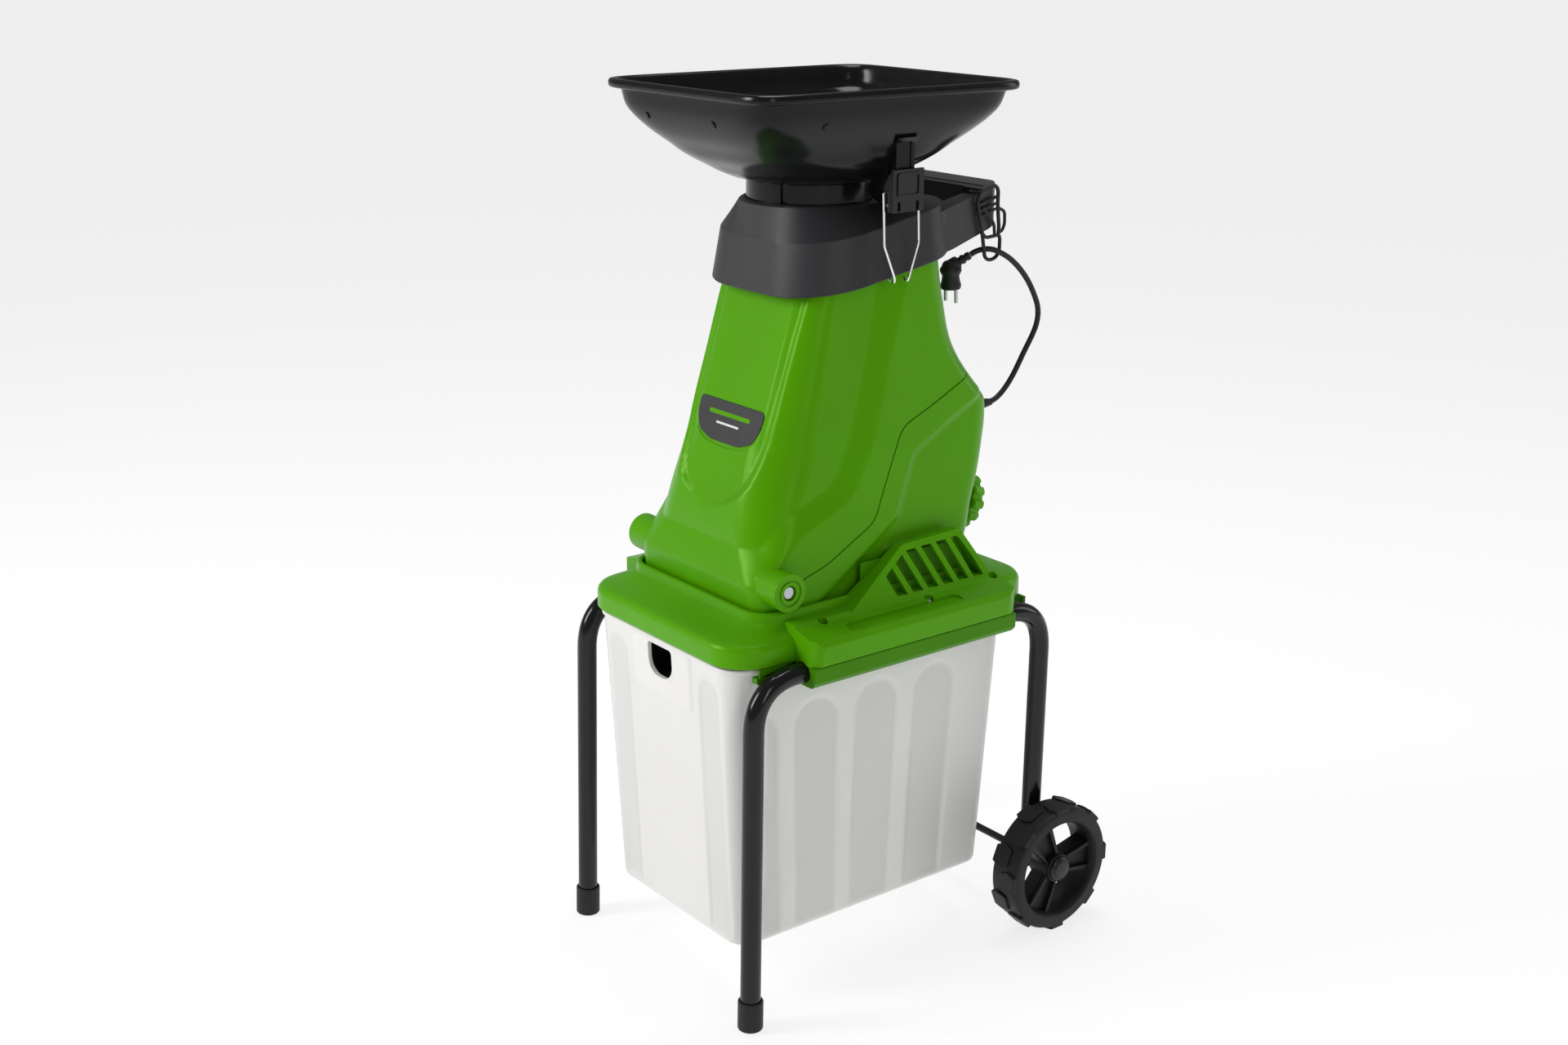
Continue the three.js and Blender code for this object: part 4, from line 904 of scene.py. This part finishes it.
def make_tray():
    tray = None
    for _, side in SIDES:
        wave = [(-232 + 6 * i, 426.5 + 3.2 * abs(math.sin(math.pi * i / 6))) for i in range(69)]
        block = prism("block", rounded([(161, 424), (194, 424), (200.4, 431), (200.4, 449.6), (161, 449.6)],
            2), -180, 141, "y")
        skirt = prism("skirt", [(-232, 449.6), *wave, (176, 449.6)], 159.5, 162.8, "x")
        combine(block, skirt, "UNION")
        ledge = box("ledge", 153.5, 162.8, -236, 190, 433, 440)
        combine(block, ledge, "UNION")
        combine(block, rod("tube", "y", 13.1, -400, 400, (177, 440), 40))
        if side < 0:
            mirror_x(block)
        if tray is None:
            tray = block
        else:
            combine(tray, block, "UNION")
    combine(tray, box("back", -162.8, 162.8, 191, 195, 433, 449.6), "UNION")
    tray.name = "under_tray"
    # The under tray takes the darkened green: painted shade under the base.
    dress(tray, "green_dark", "base", ["base_tray"], 1.0, 35)


# ---------------------------------------------------------------- stand and wheels
def make_stand():
    for name, side in SIDES:
        points = [(side * 181, -259, 6), (side * 177, -251, 440), (side * 177, AXLE_Y + 2, 440),
            (side * 177, AXLE_Y, 74)]
        path = [tuple(p) for p in rounded_path(points, 62, 22)]
        tube = swept(f"stand_tube_{name}", path, 12.5, 40)
        dress(tube, "tube", "base", [f"frame_tube_{name}"], 0.8, 60, 2)
        cap = turned("cap", [(0, 0), (14.6, 0), (15.5, 1.5), (15.5, 28), (15.1, 29), (15.5, 30), (15.5, 36),
            (14.6, 37.6),
                             (12.9, 37.6), (12.9, 4), (0, 4)], 48)
        lean = Matrix.Rotation(-math.atan2(8, 398), 4, "X") @ Matrix.Rotation(-side * math.atan2(4, 398), 4,
            "Y")
        bend_to(cap, Matrix.Translation(Vector((side * 181, -259, 0.6)) / 1000) @ lean)
        cap.name = f"foot_cap_rubber_{name}"
        dress(cap, "rubber", "base", [f"foot_cap_{name}"], 0.3, 40, 2)


WHEEL_R, WHEEL_IN, WHEEL_OUT = 88, 192, 238


def make_wheel(name, side):
    width = WHEEL_OUT - WHEEL_IN
    tyre = turned("tyre", [(62, 3), (66, 0.5), (78, 0.5), (82, 2.5), (83.6, 6), (83.6, width - 6),
        (82, width - 2.5),
                           (78, width - 0.5), (67, width - 0.5), (64.5, width - 2.5), (61.5, width - 10),
                           (61.5, 10)], 96)
    for i in range(16):
        at = 2 * math.pi * i / 16
        low, high = (1.5, width * 0.6) if i % 2 else (width * 0.4, width - 1.5)
        mid = (low + high) / 2
        outline = rounded([(-16.5, mid), (-11.5, low), (11.5, low), (16.5, mid), (11.5, high),
            (-11.5, high)], 2)
        lug = loft("lug", [[(x * 0.96, r, z) for x, z in outline] for r in (79, WHEEL_R - 2.6)]
                   + [[(x * 0.86, WHEEL_R - 1.6, mid + (z - mid) * 0.9) for x, z in outline]])
        bend_to(lug, Matrix.Rotation(at, 4, "Z"))
        combine(tyre, lug, "UNION")
    hub = turned("hub", [(5.4, 4), (17, 4), (19, 6), (20, width - 8), (19, width - 5), (17.5, width - 4),
        (5.4, width - 4)], 48)
    combine(tyre, hub, "UNION")
    for k in range(3):
        turn = Matrix.Rotation(2 * math.pi * k / 3 + math.pi / 6, 4, "Z")
        spoke = prism("spoke", [(-12, 14), (12, 14), (22, 64), (-22, 64)], 12, width - 15)
        for a, b in ((-21, -15), (15, 21)):
            rib = prism("rib", [(a * 0.5, 16), (b * 0.55, 16), (b, 64.5), (a, 64.5)], 10, width - 8.5)
            combine(spoke, rib, "UNION")
        bend_to(spoke, turn)
        combine(tyre, spoke, "UNION")
    combine(tyre, rod("bore", "z", 5.5, -5, 60, (0, 0), 32))
    if side > 0:
        turn = Matrix.Rotation(math.pi / 2, 4, "Z") @ Matrix.Rotation(math.pi / 2, 4, "X")
        at = Vector((WHEEL_IN, AXLE_Y, WHEEL_R)) / 1000
    else:
        turn = Matrix.Rotation(-math.pi / 2, 4, "Z") @ Matrix.Rotation(math.pi / 2, 4, "X")
        at = Vector((-WHEEL_IN, AXLE_Y, WHEEL_R)) / 1000
    place_wheel = Matrix.Translation(at) @ turn
    bend_to(tyre, place_wheel)
    tyre.name = f"moulded_wheel_{name}"
    dress(tyre, "tread", f"wheel_{name}_body", [f"wheel_{name}"], 0.7, 35, 2)
    cap = turned("cap", [(6, width - 3.6), (16.4, width - 3.6), (17, width - 2.6), (16, width - 0.8),
        (14, width + 0.6),
                         (12.8, width + 0.2), (11.8, width + 1.8), (7, width + 2.4), (0, width + 2.6),
                         (0, width + 0.8),
                         (6, width + 0.8)], 48)
    bend_to(cap, place_wheel)
    cap.name = f"wheel_cap_{name}"
    dress(cap, "black", f"wheel_{name}_body", [f"hub_cap_{name}"], 0.3, 40, 2)


# ---------------------------------------------------------------- bin
def grip_outline(grow):
    """Finger hole with a flat top and a round bottom."""
    half, top, foot = 24 + grow, 436 + grow, 397 - grow
    return arc(-half + 20, foot + 20, 20, 180, 270) + arc(half - 20, foot + 20, 20, 270, 360) \
        + arc(half - 5, top - 5, 5, 0, 90) + arc(-half + 5, top - 5, 5, 90, 180)


def make_bin():
    low = {"half": 134, "front": -240, "rear": 163, "r": 26}
    high = {"half": 146, "front": -259.5, "rear": 185, "r": 32}

    def plan(z, inset):
        t = (z - 75) / (446 - 75)
        mix = {k: low[k] + (high[k] - low[k]) * t for k in low}
        return round_rect(mix["half"] - inset, mix["front"] + inset, mix["rear"] - inset, mix["r"] - inset,
            None, 12, 90)

    rows = []
    heights = np.concatenate([[75.4, 76.4, 78.5, 82], np.linspace(86, 440, 96)])
    for z in heights:
        inset = {75.4: 7, 76.4: 3.6, 78.5: 1.2}.get(float(z), 0.2)
        rows.append(np.array(lift(plan(float(z), inset), float(z))))
    grid = np.array(rows)
    x, y, z = grid[..., 0], grid[..., 1], grid[..., 2]
    t = (z - 75) / 371
    mid = (y + 30) / (1 + 0.10 * (t - 1))        # flutes splay with the walls
    sunk = np.zeros(x.shape)
    for centre in (-168, -73, 24, 122):
        away = np.hypot(mid - centre + 30, np.maximum(0, z - 352) * 1.05)
        sunk = np.maximum(sunk, 1 - ramp(away, 32.5, 36.5))
    on_side = (np.abs(x) > 128 * 0.9) & (y > -205) & (y < 160)
    grid[..., 0] -= np.sign(x) * sunk * 2.3 * on_side * ramp(z, 78, 92)
    sunk_front = np.zeros(x.shape)
    for centre in (-96, 96):
        away = np.hypot(x - centre, np.maximum(0, z - 402))
        sunk_front = np.maximum(sunk_front, 1 - ramp(away, 18, 22))
    pocket = (1 - ramp(np.abs(x), 59, 63)) * ramp(z, 366, 372)
    grid[..., 1] += np.where(y < -150, 1, 0) * (sunk_front * 2.0 * ramp(z, 78, 92) - pocket * 2.2)
    outer = [[tuple(p) for p in row] for row in grid]
    lip = [lift(plan(440, -1.2), 440.8), lift(plan(440, -2.4), 441.4), lift(plan(440, -2.8), 443),
        lift(plan(440, -2.4), 445.2),
           lift(plan(440, -1), 446), lift(plan(440, 1), 446), lift(plan(440, 2.6), 445)]
    inner = [lift(plan(float(h), 3.2), float(h)) for h in np.linspace(440, 80, 24)]
    floor_ring = [lift(plan(80, 20), 79.2)]
    chip_bin = loft("chip_bin", outer + lip + inner + floor_ring)
    hole = prism("hole", grip_outline(1), -290, -240, "y")
    rim = prism("rim", grip_outline(4), -259.6, -255, "y")
    combine(chip_bin, rim, "UNION")
    combine(chip_bin, hole)
    dress(chip_bin, "bin", "bin", ["bin_box"], 0.5, 50, 2)
    cup = prism("cup", rounded([(-31, 392), (31, 392), (31, 439), (-31, 439)], 7), -255.5, -225, "y")
    combine(cup, prism("hollow", rounded([(-29, 394), (29, 394), (29, 437), (-29, 437)], 6), -262, -227,
        "y"))
    cup.name = "grip_pocket"
    dress(cup, "black", "bin", ["bin_grip_cup"], 0.8, 40, 2)


# ---------------------------------------------------------------- lock knob, switch
def make_knob():
    outline = []
    for i in range(12):
        at = 2 * math.pi * i / 12
        for turn, r in ((-0.19, 33.4), (-0.12, 37.4), (0, 38), (0.12, 37.4), (0.19, 33.4)):
            outline.append((r * math.cos(at + turn), r * math.sin(at + turn)))
    scaled = lambda k: [(x * k, y * k) for x, y in outline]
    knob = loft("star_knob", [lift(scaled(0.94), 6.2), lift(scaled(1), 8), lift(scaled(1), 21),
        lift(scaled(0.97), 24),
                              lift(scaled(0.86), 26)])
    dish = turned("dish", [(0, 22.4), (22, 22.4), (26, 24), (27.5, 27), (0, 27)], 60)
    combine(knob, dish)
    combine(knob, turned("neck", [(0, 1), (17, 1), (17, 7), (0, 7)], 40), "UNION")
    combine(knob, rod("stud", "z", 5, -52, 8, (0, 0), 28), "UNION")
    combine(knob, turned("button", [(0, 21), (9, 21), (9, 23.6), (7.6, 24.6), (0, 24.8)], 40), "UNION")
    tilt = Matrix.Translation(Vector((63, 153, 566)) / 1000) @ Matrix.Rotation(-math.radians(107.6), 4, "X")
    bend_to(knob, tilt)
    dress(knob, "green", "knob", ["lock_knob"], 0.8, 38, 2)


def make_switch():
    face = switch_face()
    switch_frame = box("switch_frame", -25.8, 25.8, -11.8, 11.8, -21, 2)
    combine(switch_frame, box("room", -20, 4, -9, 9, -10, 3))
    combine(switch_frame, rod("room", "z", 6.3, -10, 3, (14, 0), 32))
    bend_to(switch_frame, face)
    dress(switch_frame, "black", "upper_unit", ["switch_housing"], 0.8, 40)
    rocker = prism("rocker_cap",
        rounded([(-19.5, -5.5), (3.5, -5.5), (3.5, 3.2), (-6, 1.2), (-10, 1.2), (-19.5, 3.4)], 1), -8.4, 8.4,
        "y")
    bend_to(rocker, face)
    dress(rocker, "green", "rocker", ["power_rocker"], 0.6, 40, 2)
    button = turned("reset_cap", [(0, -6), (6, -6), (6, 3.4), (5, 4.4), (0, 4.5)], 40)
    for v in button.data.vertices:
        v.co.x += 0.014
    bend_to(button, face)
    dress(button, "red", "reset", ["reset_button"], 0.3, 40, 2)


# ---------------------------------------------------------------- carried-over CAD nodes
KEPT = {
    "tube": ["axle_rod"],
    "steel": ["hinge_bracket_left", "hinge_bracket_right", "lock_post", "pivot_bolt_left",
        "pivot_bolt_right",
              "latch_pin_left", "latch_pin_right", "cutter_shaft", "blade_disc", "knife_a", "knife_b",
              "knife_bolt_a",
              "knife_bolt_b", "gearbox_plate", "cutter_bearing", "motor_bearing", "motor_shaft"]
    + [f"cover_screw_{s}_{i}" for s in ("left", "right") for i in (1, 2, 3)],
    "nylon": ["drive_gear"],
    "copper": ["stator_core", "armature"],
    "black": ["feed_funnel", "motor_housing", "cooling_fan"],
    # The deck plate takes the darkened green, painted shade.
    "green_dark": ["deck_plate"],
}


def dress_kept():
    for look, names in KEPT.items():
        for name in names:
            obj = nodes[name]
            obj.data.materials.clear()
            obj.data.materials.append(LOOKS[look])
            for face in obj.data.polygons:
                face.use_smooth = True
            obj.data.set_sharp_from_angle(angle=math.radians(35))
            edge = obj.modifiers.new("edge", "BEVEL")
            edge.width, edge.segments, edge.limit_method = 0.0004, 2, "ANGLE"
            edge.angle_limit = math.radians(50)


make_camera()
make_studio()
make_cord()
make_holder()
make_hopper()
make_ring()
make_latches()
make_collar()
make_shells()
make_label()
make_base()
make_tray()
make_stand()
for wheel_name, wheel_side in SIDES:
    make_wheel(wheel_name, wheel_side)
make_bin()
make_knob()
make_switch()
dress_kept()
